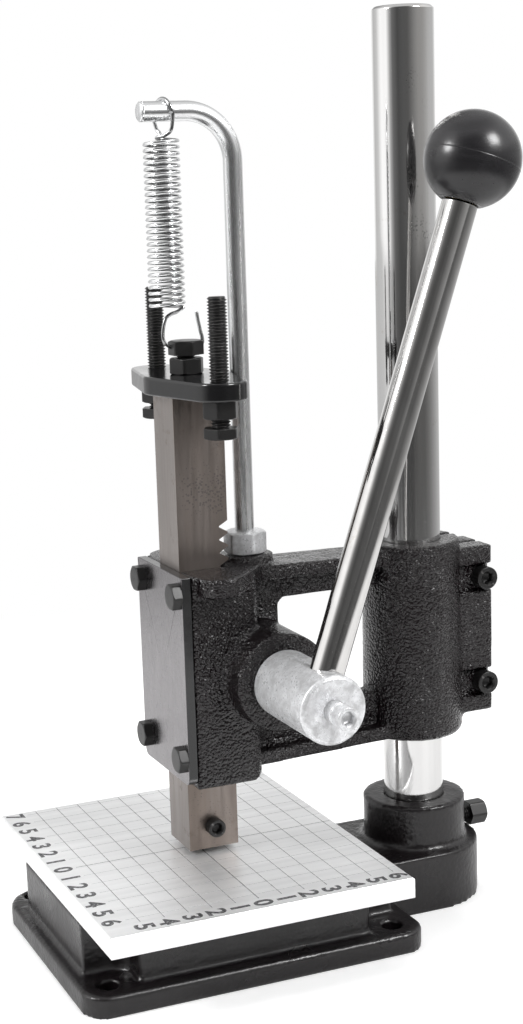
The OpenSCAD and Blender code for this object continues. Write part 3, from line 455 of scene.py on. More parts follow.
@dataclass(frozen=True)
class Casting:
    """How a cast solid gets its rounded edges, filled corners and uneven skin."""

    node: str
    voxel: float
    passes: int
    relief: float
    seed: int
    steps: ClassVar[tuple[float, float]] = (0.5, -0.47)
    bumps: ClassVar[Stops] = ((0.5, 2.6), (0.3, 4.6), (0.8, 17.0))

    def make(self, name: str, crisp: Place, fit: Place) -> Piece:
        """Builds the casting's skin.

        The node's solid is cut into voxels, and each point then moves half way to the mean of its
        neighbours and nearly as far back, pass after pass, but less where crisp says so. That
        evens the skin and breaks its edges without shrinking it. fit puts the bores and machined
        faces back. Noise then lifts the skin along its normals: bumps holds (share, cell) rows.

        Args:
            name: the piece's name.
            crisp: share from 0 to 1 of its sharpness that each point keeps.
            fit: returns the points with the machined places put right.

        Returns:
            The piece.
        """
        points, triangles = welded(self.node)
        piece = mesh_piece(name, points, triangles)
        remesh = piece.modifiers.new("skin", "REMESH")
        remesh.mode, remesh.voxel_size = "VOXEL", self.voxel * MM
        settled(piece)
        mesh = piece.data
        points = np.zeros(len(mesh.vertices) * 3)
        mesh.vertices.foreach_get("co", points)
        points = points.reshape(-1, 3) / MM
        edges = np.zeros(len(mesh.edges) * 2, np.int32)
        mesh.edges.foreach_get("vertices", edges)
        edges = edges.reshape(-1, 2)
        kept = crisp(points)[:, None]
        for step in self.steps * self.passes:
            points = points + step * (1 - kept) * (neighbour_mean(points, edges) - points)
        points = fit(points)
        mesh.vertices.foreach_set("co", (points * MM).astype(np.float32).ravel())
        mesh.update()
        normals = np.zeros(len(points) * 3)
        mesh.vertex_normals.foreach_get("vector", normals)
        height = np.zeros(len(points))
        for i, (share, cell) in enumerate(self.bumps):
            height += share * lattice_noise(points, cell, self.seed + i)
        lift = self.relief * (1 - kept) * height[:, None]
        points = points + lift * normals.reshape(-1, 3)
        mesh.vertices.foreach_set("co", (points * MM).astype(np.float32).ravel())
        mesh.polygons.foreach_set("use_smooth", np.full(len(mesh.polygons), True))
        mesh.update()
        return piece


# Materials


class Tree:
    """A node tree with short calls for the nodes that the finishes use."""

    def __init__(self, tree: bpy.types.NodeTree) -> None:
        """Starts on an empty tree."""
        self.tree = tree
        self.tree.nodes.clear()

    def node(self, kind: str, inputs: dict[str, Any] | None = None, **settings: Any) -> bpy.types.Node:
        """Adds a node, sets its properties, and feeds its inputs with sockets or values."""
        node = self.tree.nodes.new(kind)
        for name, value in settings.items():
            setattr(node, name, value)
        for name, value in (inputs or {}).items():
            self.feed(node.inputs[name], value)
        return node

    def feed(self, target: Socket, value: Any) -> None:
        """Links a socket to an input, or sets the input's own value."""
        if isinstance(value, bpy.types.NodeSocket):
            self.tree.links.new(value, target)
        elif isinstance(value, tuple) and len(value) == 3 and target.type == "RGBA":
            target.default_value = (*value, 1.0)
        else:
            target.default_value = value

    def math(self, operation: str, a: Any, b: Any = 0.0, clamp: bool = False) -> Socket:
        """Result of a Math node."""
        node = self.node("ShaderNodeMath", operation=operation, use_clamp=clamp)
        self.feed(node.inputs[0], a)
        self.feed(node.inputs[1], b)
        return node.outputs[0]

    def spread(self, value: Any, low: float, high: float, to_low: float, to_high: float) -> Socket:
        """A value mapped from one range to another and held inside it."""
        node = self.node("ShaderNodeMapRange", clamp=True)
        for socket, v in zip(node.inputs, (value, low, high, to_low, to_high)):
            self.feed(socket, v)
        return node.outputs[0]

    def blend(self, share: Any, a: Any, b: Any) -> Socket:
        """Colour a where share is 0 and colour b where it is 1."""
        node = self.node("ShaderNodeMix", data_type="RGBA", clamp_factor=True)
        self.feed(node.inputs[0], share)
        self.feed(node.inputs[6], a)
        self.feed(node.inputs[7], b)
        return node.outputs[2]

    def emission(self, colour: Any, strength: Any) -> Socket:
        """Shader that gives off light."""
        return self.node("ShaderNodeEmission", {"Color": colour, "Strength": strength}).outputs[0]

    def layer(self, share: Any, a: Socket, b: Socket) -> Socket:
        """Shader a where share is 0 and shader b where it is 1."""
        return self.node("ShaderNodeMixShader", {0: share, 1: a, 2: b}).outputs[0]

    def noise(
        self, vector: Any, scale: Any, detail: float = 2.0, rough: float = 0.5, warp: float = 0.0
    ) -> Socket:
        """Value of a noise texture."""
        inputs = {"Vector": vector, "Scale": scale, "Detail": detail, "Roughness": rough, "Distortion": warp}
        return self.node("ShaderNodeTexNoise", inputs).outputs[0]

    def stretched(self, vector: Any, turn: Triple, scale: Triple = (1.0, 1.0, 1.0)) -> Socket:
        """Coordinates turned about X, Y and Z, and then multiplied by the scale."""
        turned_by = self.node("ShaderNodeMapping", {"Vector": vector, "Rotation": turn})
        node = self.node("ShaderNodeMapping", {"Vector": turned_by.outputs[0], "Scale": scale})
        return node.outputs[0]

    def bump(
        self, height: Any, distance: float, strength: float = 1.0, normal: Socket | None = None
    ) -> Socket:
        """Normal of a Bump node."""
        inputs: dict[str, Any] = {"Height": height, "Distance": distance, "Strength": strength}
        if normal is not None:
            inputs["Normal"] = normal
        return self.node("ShaderNodeBump", inputs).outputs[0]

    def place(self, attribute: str = "") -> Socket:
        """The piece's own coordinates, or the vector attribute of that name."""
        if attribute:
            return self.node("ShaderNodeAttribute", attribute_name=attribute).outputs["Vector"]
        return self.node("ShaderNodeTexCoord").outputs["Object"]


def effect(
    name: str, inputs: dict[str, float], outputs: list[str]
) -> tuple[bpy.types.NodeTree, Tree, Any, Any]:
    """A new shader node group with a Vector input, the named number inputs and the named outputs."""
    group = bpy.data.node_groups.new(name, "ShaderNodeTree")
    tree = Tree(group)
    group.interface.new_socket(name="Vector", in_out="INPUT", socket_type="NodeSocketVector")
    for label, value in inputs.items():
        made = group.interface.new_socket(name=label, in_out="INPUT", socket_type="NodeSocketFloat")
        made.default_value = value
    for label in outputs:
        group.interface.new_socket(name=label, in_out="OUTPUT", socket_type="NodeSocketFloat")
    return group, tree, tree.node("NodeGroupInput"), tree.node("NodeGroupOutput")


class Effects:
    """The node groups that more than one finish uses."""

    def __init__(self) -> None:
        """Builds each group once."""
        self.hammer = self.hammer_group()
        self.streaks = self.streak_group()
        self.grime = self.grime_group()
        self.pits = self.pit_group()

    @staticmethod
    def hammer_group() -> bpy.types.NodeTree:
        """Height of hammer-finish enamel: soft cells under crumpled grain, calmer in patches."""
        group, t, start, end = effect("hammer_enamel", {"Scale": 480.0, "Calm": 0.3}, ["Height", "Patch"])
        at, scale = start.outputs["Vector"], start.outputs["Scale"]
        cells = t.node(
            "ShaderNodeTexVoronoi", {"Vector": at, "Scale": scale, "Smoothness": 0.35}, feature="SMOOTH_F1"
        )
        dome = t.math("SUBTRACT", 1.0, cells.outputs["Distance"])
        grain = t.noise(at, t.math("MULTIPLY", scale, 1.4), 1.5, 0.5)
        mixed = t.math("ADD", t.math("MULTIPLY", dome, 0.9), t.math("MULTIPLY", grain, 0.8))
        patch = t.spread(t.noise(at, 38.0, 1.0), 0.35, 0.65, 0.0, 1.0)
        calm = t.math("SUBTRACT", 1.0, t.math("MULTIPLY", patch, start.outputs["Calm"]))
        t.feed(end.inputs["Height"], t.math("MULTIPLY", mixed, calm))
        t.feed(end.inputs["Patch"], patch)
        return group

    @staticmethod
    def streak_group() -> bpy.types.NodeTree:
        """Fine lines along the local Z: Fine is a dense brushing, Broad its slow bands."""
        group, t, start, end = effect("drawn_streaks", {"Scale": 900.0, "Length": 0.02}, ["Fine", "Broad"])
        at = start.outputs["Vector"]
        apart = t.node("ShaderNodeSeparateXYZ", {"Vector": at})
        slow = t.math("MULTIPLY", apart.outputs[2], start.outputs["Length"])
        places = {"X": apart.outputs[0], "Y": apart.outputs[1], "Z": slow}
        joined = t.node("ShaderNodeCombineXYZ", places).outputs[0]
        broad = t.math("MULTIPLY", start.outputs["Scale"], 0.22)
        t.feed(end.inputs["Fine"], t.noise(joined, start.outputs["Scale"], 3.0, 0.6))
        t.feed(end.inputs["Broad"], t.noise(joined, broad, 2.0, 0.5))
        return group

    @staticmethod
    def grime_group() -> bpy.types.NodeTree:
        """Mask of stains and handling marks, whose share grows with Amount."""
        group, t, start, end = effect("stains", {"Scale": 60.0, "Amount": 0.5}, ["Mask"])
        at, scale = start.outputs["Vector"], start.outputs["Scale"]
        large = t.noise(at, scale, 4.0, 0.62, 0.4)
        small = t.noise(at, t.math("MULTIPLY", scale, 6.0), 3.0, 0.6)
        mixed = t.math("ADD", t.math("MULTIPLY", large, 0.7), t.math("MULTIPLY", small, 0.3))
        edge = t.math("SUBTRACT", 0.72, t.math("MULTIPLY", start.outputs["Amount"], 0.4))
        limits = {"Value": mixed, "From Min": edge, "From Max": t.math("ADD", edge, 0.16)}
        node = t.node("ShaderNodeMapRange", limits, clamp=True, interpolation_type="SMOOTHSTEP")
        t.feed(end.inputs["Mask"], node.outputs[0])
        return group

    @staticmethod
    def pit_group() -> bpy.types.NodeTree:
        """Mask of small round pits and specks, thicker in some places than in others."""
        group, t, start, end = effect("pits", {"Scale": 700.0, "Amount": 0.3}, ["Mask"])
        at, scale = start.outputs["Vector"], start.outputs["Scale"]
        cells = t.node("ShaderNodeTexVoronoi", {"Vector": at, "Scale": scale, "Randomness": 1.0})
        where = t.spread(t.noise(at, 45.0, 2.0), 0.42, 0.68, 0.0, 1.0)
        size = t.math("MULTIPLY", t.math("MULTIPLY", where, start.outputs["Amount"]), 0.6)
        inside = t.math("LESS_THAN", cells.outputs["Distance"], size)
        t.feed(end.inputs["Mask"], t.math("MULTIPLY", inside, where))
        return group


EFFECTS = Effects()


class Finish:
    """Base of the finishes: opens a material with its tree and shader."""

    name: str

    def open(self) -> tuple[bpy.types.Material, Tree, bpy.types.Node]:
        """A new material with a shader wired to its output."""
        material = bpy.data.materials.new(self.name)
        material.use_nodes = True
        tree = Tree(material.node_tree)
        shader = tree.node("ShaderNodeBsdfPrincipled")
        output = tree.node("ShaderNodeOutputMaterial")
        tree.tree.links.new(shader.outputs[0], output.inputs[0])
        return material, tree, shader

    @staticmethod
    def group(tree: Tree, group: bpy.types.NodeTree, **inputs: Any) -> bpy.types.Node:
        """Places a node group and feeds it."""
        node = tree.node("ShaderNodeGroup", node_tree=group)
        for label, value in inputs.items():
            tree.feed(node.inputs[label], value)
        return node

    def make(self) -> bpy.types.Material:
        """Builds the material."""
        raise NotImplementedError


def scaled(colour: Triple, factor: float, lift: float = 0.0) -> Triple:
    """A colour times a factor, with the lift added to each channel."""
    return tuple(c * factor + lift for c in colour)


@dataclass(frozen=True)
class HammeredEnamel(Finish):
    """Glossy black enamel over rough iron."""

    name: str
    colour: Triple
    roughness: float
    cell: float
    height: float
    calm: float
    gloss: float

    def make(self) -> bpy.types.Material:
        """Base colour with a dusty tint, cells in the bump, and gloss that varies in patches."""
        material, t, shader = self.open()
        at = t.place()
        skin_of = self.group(t, EFFECTS.hammer, Vector=at, Scale=1 / (self.cell * MM), Calm=self.calm)
        dust = self.group(t, EFFECTS.grime, Vector=at, Scale=55.0, Amount=0.35)
        pale = scaled(self.colour, 2.4, 0.004)
        share = t.math("MULTIPLY", dust.outputs[0], 0.5)
        t.feed(shader.inputs["Base Color"], t.blend(share, self.colour, pale))
        rough = t.spread(skin_of.outputs["Patch"], 0.0, 1.0, self.roughness * 0.85, self.roughness * 1.3)
        t.feed(shader.inputs["Roughness"], t.math("ADD", rough, t.math("MULTIPLY", dust.outputs[0], 0.1)))
        shader.inputs["Specular IOR Level"].default_value = self.gloss
        fine = t.bump(t.noise(at, 2600.0, 2.0), 0.00002, 0.35)
        t.feed(shader.inputs["Normal"], t.bump(skin_of.outputs["Height"], self.height * MM, 1.0, fine))
        return material


@dataclass(frozen=True)
class BarMetal(Finish):
    """Plated or bare metal with lines along one direction, haze, stains and pits.

    A worn strip, in metres, lies where the piece's own X runs through strip and its Z through
    strip_rise. The pits there have the amount strip_pits, and strip_stain of it is stained. A
    further share darkens the side that a coil turns to its axis, where its own Y is negative: painted
    shade between the coils.
    """

    name: str
    colour: Triple
    stain: Triple
    roughness: float
    roughness_span: float
    turn: Triple = (0.0, 0.0, 0.0)
    line_scale: float = 900.0
    line_length: float = 0.02
    line_depth: float = 0.004
    stain_amount: float = 0.3
    stain_scale: float = 60.0
    pit_amount: float = 0.15
    metallic: float = 1.0
    attribute: str = ""
    strip: tuple[float, float] = (9.0, 10.0)
    strip_rise: tuple[float, float] = (-2.0, -1.0)
    strip_pits: float = 1.1
    strip_stain: float = 0.0
    # Share of painted shade on the side of a coil that turns to its axis.
    painted_inner_shade: float = 0.0

    def make(self) -> bpy.types.Material:
        """Lines drive the roughness, colour and bump, and stains and pits darken and dull them."""
        material, t, shader = self.open()
        own = t.place(self.attribute)
        at = t.stretched(own, self.turn)
        lines = self.group(t, EFFECTS.streaks, Vector=at, Scale=self.line_scale, Length=self.line_length)
        stains = self.group(t, EFFECTS.grime, Vector=at, Scale=self.stain_scale, Amount=self.stain_amount)
        apart = t.node("ShaderNodeSeparateXYZ", {"Vector": own})
        sideways = t.spread(apart.outputs[0], *self.strip, 0.0, 1.0)
        strip = t.math("MULTIPLY", sideways, t.spread(apart.outputs[2], *self.strip_rise, 0.0, 1.0))
        amount = t.spread(strip, 0.0, 1.0, self.pit_amount, self.strip_pits)
        pits = self.group(t, EFFECTS.pits, Vector=at, Scale=800.0, Amount=amount)
        broad = t.spread(lines.outputs["Broad"], 0.3, 0.7, 0.0, 1.0)
        colour = t.blend(t.math("MULTIPLY", broad, 0.6), self.colour, scaled(self.colour, 0.82))
        colour = t.blend(t.math("MULTIPLY", stains.outputs[0], 0.8), colour, self.stain)
        film = t.spread(lines.outputs["Broad"], 0.35, 0.6, self.strip_stain * 0.6, self.strip_stain)
        colour = t.blend(t.math("MULTIPLY", strip, film), colour, self.stain)
        colour = t.blend(t.math("MULTIPLY", pits.outputs[0], 0.7), colour, scaled(self.colour, 0.35))
        # Painted shade: the coil's side towards its axis is painted darker, standing in for the shade between
        # the coils.
        inner = t.spread(apart.outputs[1], -0.0003, 0.0001, self.painted_inner_shade, 0.0)
        t.feed(shader.inputs["Base Color"], t.blend(inner, colour, scaled(self.colour, 0.12)))
        dullest = self.roughness + self.roughness_span
        rough = t.spread(lines.outputs["Fine"], 0.3, 0.7, self.roughness, dullest)
        rough = t.math("ADD", rough, t.math("MULTIPLY", stains.outputs[0], 0.14))
        pitted = t.math("MULTIPLY", pits.outputs[0], 0.2)
        t.feed(shader.inputs["Roughness"], t.math("ADD", rough, pitted, True))
        shader.inputs["Metallic"].default_value = self.metallic
        height = t.math("SUBTRACT", lines.outputs["Fine"], pits.outputs[0])
        t.feed(shader.inputs["Normal"], t.bump(height, self.line_depth * MM, 1.0))
        return material


@dataclass(frozen=True)
class RoughZinc(Finish):
    """Pale zinc plate over a coarsely turned surface: mottled, grainy and bright on its high spots."""

    name: str
    colour: Triple
    shade: Triple
    roughness: float
    turn: Triple = (0.0, 0.0, 0.0)

    def make(self) -> bpy.types.Material:
        """Mottles in the colour and the gloss, with grain and tool marks in the bump."""
        material, t, shader = self.open()
        at = t.stretched(t.place(), self.turn)
        marks = self.group(t, EFFECTS.streaks, Vector=at, Scale=420.0, Length=0.45)
        mottle = t.spread(t.noise(at, 210.0, 4.0, 0.7), 0.4, 0.62, 0.0, 1.0)
        grain = t.noise(at, 950.0, 4.0, 0.7)
        pits = self.group(t, EFFECTS.pits, Vector=at, Scale=620.0, Amount=0.45)
        colour = t.blend(t.math("MULTIPLY", mottle, 0.75), self.colour, self.shade)
        colour = t.blend(t.math("MULTIPLY", pits.outputs[0], 0.55), colour, scaled(self.colour, 0.4))
        t.feed(shader.inputs["Base Color"], colour)
        rough = t.spread(grain, 0.35, 0.65, self.roughness, self.roughness + 0.16)
        t.feed(shader.inputs["Roughness"], t.math("ADD", rough, t.math("MULTIPLY", mottle, 0.1)))
        shader.inputs["Metallic"].default_value = 0.5
        height = t.math("ADD", t.math("MULTIPLY", grain, 0.6), t.math("MULTIPLY", marks.outputs["Fine"], 0.7))
        t.feed(shader.inputs["Normal"], t.bump(t.math("SUBTRACT", height, pits.outputs[0]), 0.00008, 0.9))
        return material


@dataclass(frozen=True)
class BlackOxide(Finish):
    """Blackened steel of screws and nuts, with rubbed corners and a trace of oil."""

    name: str
    colour: Triple
    rubbed: Triple
    roughness: float

    def make(self) -> bpy.types.Material:
        """Dark base that turns to bare steel where the shape is sharpest, with fine grain."""
        material, t, shader = self.open()
        at = t.place()
        stains = self.group(t, EFFECTS.grime, Vector=at, Scale=210.0, Amount=0.45)
        edge = t.node("ShaderNodeNewGeometry").outputs["Pointiness"]
        worn = t.spread(t.noise(at, 330.0, 3.0), 0.4, 0.6, 0.0, 0.7)
        rub = t.math("MULTIPLY", t.spread(edge, 0.53, 0.62, 0.0, 1.0), worn)
        colour = t.blend(t.math("MULTIPLY", stains.outputs[0], 0.5), self.colour, scaled(self.colour, 1.9))
        t.feed(shader.inputs["Base Color"], t.blend(rub, colour, self.rubbed))
        rough = t.spread(stains.outputs[0], 0.0, 1.0, self.roughness, self.roughness + 0.16)
        t.feed(shader.inputs["Roughness"], rough)
        t.feed(shader.inputs["Metallic"], t.spread(rub, 0.0, 1.0, 0.35, 1.0))
        t.feed(shader.inputs["Normal"], t.bump(t.noise(at, 1500.0, 3.0), 0.00003, 0.7))
        return material


@dataclass(frozen=True)
class GlossPlastic(Finish):
    """Moulded black thermoset, polished by hands."""

    name: str
    colour: Triple
    # rim is a painted reflection: the colour laid on where the surface turns away from the view.
    rim: Triple
    roughness: float

    def make(self) -> bpy.types.Material:
        """Dark base, faint flow marks, a paler rim of painted reflection, hairline scratches and finger haze.
        """
        material, t, shader = self.open()
        at = t.place()
        haze = self.group(t, EFFECTS.grime, Vector=at, Scale=75.0, Amount=0.5)
        flow = t.noise(t.stretched(at, (0.0, 0.0, 0.0), (1.0, 1.0, 4.0)), 40.0, 3.0, 0.6, 1.5)
        colour = t.blend(t.spread(flow, 0.35, 0.7, 0.0, 1.0), self.colour, scaled(self.colour, 1.7))
        # Painted reflection: towards the ball's outline the colour turns to rim, standing in for the mirrored
        # pale surroundings.
        facing = t.node("ShaderNodeLayerWeight", {"Blend": 0.5}).outputs["Facing"]
        edge = t.spread(facing, 0.72, 1.0, 0.0, 0.5)
        t.feed(shader.inputs["Base Color"], t.blend(edge, colour, self.rim))
        rough = t.spread(haze.outputs[0], 0.0, 1.0, self.roughness, self.roughness + 0.06)
        t.feed(shader.inputs["Roughness"], rough)
        scratch = t.noise(t.stretched(at, (0.4, 0.9, 0.2), (1.0, 9.0, 1.0)), 260.0, 4.0, 0.7)
        t.feed(shader.inputs["Normal"], t.bump(scratch, 0.00002, 0.5))
        return material


@dataclass(frozen=True)
class PrintInk(Finish):
    """Printed ink, thin and slightly broken."""

    name: str
    colour: Triple
    ground: Triple
    broken: float

    def make(self) -> bpy.types.Material:
        """Ink colour that lets the plate's colour through in specks."""
        material, t, shader = self.open()
        at = t.place()
        specks = t.spread(t.noise(at, 900.0, 3.0, 0.7), 0.5, 0.62, 0.0, self.broken)
        t.feed(shader.inputs["Base Color"], t.blend(specks, self.colour, self.ground))
        t.feed(shader.inputs["Roughness"], t.spread(t.noise(at, 300.0), 0.3, 0.7, 0.35, 0.55))
        t.feed(shader.inputs["Normal"], t.bump(t.noise(at, 1800.0, 2.0), 0.00001, 0.5))
        return material


LEVER_TILT = math.radians(19.1)
ALONG_X = (0.0, math.pi / 2, 0.0)
ALONG_Y = (math.pi / 2, 0.0, 0.0)
ALONG_LEVER = (-LEVER_TILT, 0.0, 0.0)

FINISHES: dict[Slot, Finish] = {
    Slot.CASTING: HammeredEnamel(
        "casting_paint", colour=(0.0048, 0.0028, 0.0034), roughness=0.1, cell=1.25, height=0.8, calm=0.3,
        gloss=0.45,
    ),
    Slot.STOP: HammeredEnamel(
        "stop_paint", colour=(0.006, 0.006, 0.0065), roughness=0.16, cell=7.0, height=0.08, calm=0.6,
        gloss=0.6,
    ),
    Slot.PLATE: BarMetal(
        "plate_metal", colour=(0.965, 0.967, 0.97), stain=(0.88, 0.88, 0.89), roughness=0.32,
        roughness_span=0.12, turn=ALONG_Y, line_scale=1100.0, line_length=0.015, line_depth=0.002,
        stain_amount=0.12, stain_scale=30.0, pit_amount=0.05, metallic=0.65,
    ),
    Slot.COLUMN: BarMetal(
        "column_chrome", colour=(0.68, 0.675, 0.67), stain=(0.5, 0.47, 0.43), roughness=0.045,
        roughness_span=0.1, line_scale=700.0, stain_amount=0.35, stain_scale=70.0, pit_amount=0.12,
        strip=(0.0115, 0.0129), strip_rise=(0.15, 0.2), strip_pits=0.8, strip_stain=0.35,
    ),
    Slot.LEVER: BarMetal(
        "lever_chrome", colour=(0.62, 0.61, 0.6), stain=(0.45, 0.42, 0.38), roughness=0.04,
        roughness_span=0.07, turn=ALONG_LEVER, line_depth=0.002, stain_amount=0.25, stain_scale=90.0,
        pit_amount=0.12,
    ),
    Slot.POST: BarMetal(
        "post_zinc", colour=(0.78, 0.785, 0.79), stain=(0.5, 0.49, 0.47), roughness=0.2,
        roughness_span=0.14, line_length=0.03, line_depth=0.003, stain_scale=90.0, attribute=FLOW,
    ),
    Slot.HUB: RoughZinc(
        "hub_zinc", colour=(0.8, 0.805, 0.82), shade=(0.44, 0.44, 0.445), roughness=0.22, turn=ALONG_X,
    ),
    Slot.FACE: BarMetal(
        "face_steel", colour=(0.262, 0.25, 0.258), stain=(0.22, 0.21, 0.218), roughness=0.2,
        roughness_span=0.1, line_length=0.3, line_depth=0.0007, stain_amount=0.1, pit_amount=0.02,
    ),
    Slot.RAM: BarMetal(
        "ram_steel", colour=(0.31, 0.282, 0.268), stain=(0.15, 0.122, 0.104), roughness=0.34,
        roughness_span=0.2, line_scale=520.0, line_length=0.08, line_depth=0.008, stain_amount=0.4,
        stain_scale=70.0, pit_amount=0.3, strip=(0.0106, 0.0109), strip_pits=0.6, strip_stain=0.85,
    ),
    Slot.GEAR: BarMetal(
        "gear_steel", colour=(0.36, 0.35, 0.34), stain=(0.16, 0.14, 0.12), roughness=0.3,
        roughness_span=0.2, turn=ALONG_X, line_scale=700.0, line_length=0.05, line_depth=0.005,
        stain_amount=0.5, stain_scale=90.0, pit_amount=0.2,
    ),
    Slot.BOLT: BlackOxide(
        "bolt_black", colour=(0.016, 0.0155, 0.0155), rubbed=(0.2, 0.195, 0.19), roughness=0.34,
    ),
    # The spring's wire carries painted shade on the inner side of its coils.
    Slot.SPRING: BarMetal(
        "spring_wire", colour=(0.8, 0.805, 0.81), stain=(0.5, 0.49, 0.48), roughness=0.14,
        roughness_span=0.1, line_scale=1500.0, line_length=0.05, line_depth=0.001, stain_amount=0.2,
        stain_scale=160.0, pit_amount=0.1, attribute=FLOW, painted_inner_shade=0.62,
    ),
    Slot.BUSH: BarMetal(
        "bush_bronze", colour=(0.5, 0.35, 0.17), stain=(0.2, 0.14, 0.07), roughness=0.3,
        roughness_span=0.15, turn=ALONG_X, line_scale=800.0, line_length=0.4, stain_amount=0.4,
        stain_scale=120.0, pit_amount=0.2,
    ),
    Slot.INSERT: BarMetal(
        "insert_brass", colour=(0.62, 0.46, 0.2), stain=(0.35, 0.25, 0.1), roughness=0.25,
        roughness_span=0.15, turn=ALONG_LEVER, line_scale=800.0, line_length=0.4, stain_scale=120.0,
        pit_amount=0.1,
    ),
    # The knob's rim colour is a painted reflection along its outline.
    Slot.KNOB: GlossPlastic(
        "knob_plastic", colour=(0.0095, 0.009, 0.01), rim=(0.42, 0.42, 0.42), roughness=0.25,
    ),
}

MATERIALS: dict[Slot, bpy.types.Material] = {slot: finish.make() for slot, finish in FINISHES.items()}


class Group:
    """A sub-assembly whose pieces ride on one body."""

    body: Body

    def add(
        self, piece: Piece, slot: Slot, *stands_for: str, material: bpy.types.Material | None = None
    ) -> Piece:
        """Gives a piece its slot's material, or its own, and its body, and hides the CAD nodes that it stands
        for.

        Args:
            piece: the finished piece.
            slot: the record's slot, whose material the piece gets.
            *stands_for: names of the CAD nodes that it takes the place of.
            material: a material of the piece's own, in place of the slot's.

        Returns:
            The piece.
        """
        piece.data.materials.clear()
        piece.data.materials.append(material or MATERIALS[slot])
        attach(piece, self.body.value)
        if stands_for:
            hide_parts(*stands_for)
        log.info("%s: %s, %d faces", self.body.value, piece.name, len(piece.data.polygons))
        return piece


# Sub-assemblies


@dataclass
class Base(Group):
    """Base casting, its lock bolt and the ruled work plate."""

    body: Body = Body.BASE
    throat: float = 102.0
    column_r: float = 13.1
    plinth_top: float = 30.5
    lock_z: float = 30.5
    lock_stand: float = 27.4
    lock_flats: float = 10.0
    lock_head: float = 8.0
    lock_thread: tuple[float, float] = (2.95, 1.0)
    lock_length: float = 16.0
    hole_x: float = 50.0
    hole_y: float = 63.0
    hole_r: float = 4.3
    seat_end_y: float = 74.0

    def casting(self) -> None:
        """The base's skin, flat where it meets the bench and the plate."""

        def crisp(p: np.ndarray) -> np.ndarray:
            """Keeps the foot, the plate's seat and the bench bolt holes."""
            low = 1 - ease(p[:, 2], 0.8, 3.2)
            bolt = np.hypot(np.abs(p[:, 0]) - self.hole_x, np.abs(p[:, 1]) - self.hole_y)
            return np.maximum(0.97 * low, 0.9 * (1 - ease(bolt, 4.8, 6.0)))

        def fit(p: np.ndarray) -> np.ndarray:
            """Lays the foot on the table and keeps the holes and the column's bore open."""
            p = p.copy()
            p[:, 2] = np.clip(p[:, 2], 0.0, None)
            seat = (p[:, 2] > self.plinth_top - 0.6) & (p[:, 1] < self.seat_end_y)
            p[seat, 2] = np.minimum(p[seat, 2], self.plinth_top)
            for y in (-self.hole_y, self.hole_y):
                for x in (-self.hole_x, self.hole_x):
                    p = open_bore(p, (x, y), (0, 1), self.hole_r)
            return open_bore(p, (0, self.throat), (0, 1), self.column_r + 0.1)

        piece = Casting("base_casting", 1.15, 7, 0.1, 11).make("base_casting_skin", crisp, fit)
        smooth = HammeredEnamel(
            "casting_paint_smooth", colour=(0.0062, 0.0046, 0.0052), roughness=0.27, cell=1.9, height=0.16,
            calm=0.5, gloss=0.5,
        )
        self.add(piece, Slot.CASTING, "base_casting", material=smooth.make())

    def lock_bolt(self) -> None:
        """Hexagon head bolt behind the socket, with a little of its thread showing."""
        axis = Axis((0, self.throat + self.lock_stand, self.lock_z), (0, 1, 0), (1, 0, 0))
        head = hexagon_piece("column_lock_bolt_head", axis, self.lock_flats, self.lock_head)
        shank = threaded_rod("column_lock_bolt_thread", axis, *self.lock_thread, -self.lock_length, 0.6)
        self.add(head, Slot.BOLT, "column_lock_bolt")
        self.add(shank, Slot.BOLT, "column_lock_bolt")

    def build(self) -> None:
        """Builds the group."""
        self.casting()
        self.lock_bolt()


def open_bore(p: np.ndarray, centre: tuple[float, float], axes: tuple[int, int], radius: float) -> np.ndarray:
    """Puts the points just inside or outside a bore's wall on it.

    Args:
        p: points in millimetres, which are changed.
        centre: where the bore's axis crosses the plane of the two axes.
        axes: the two axes square to the bore.
        radius: the bore's radius.

    Returns:
        The points.
    """
    within, beyond = 0.6 * radius, radius + 0.45
    offset = p[:, list(axes)] - np.array(centre)
    distance = np.linalg.norm(offset, axis=1)
    near = (distance < beyond) & (distance > within)
    p[np.ix_(near, axes)] = np.array(centre) + unit(offset[near]) * radius
    return p


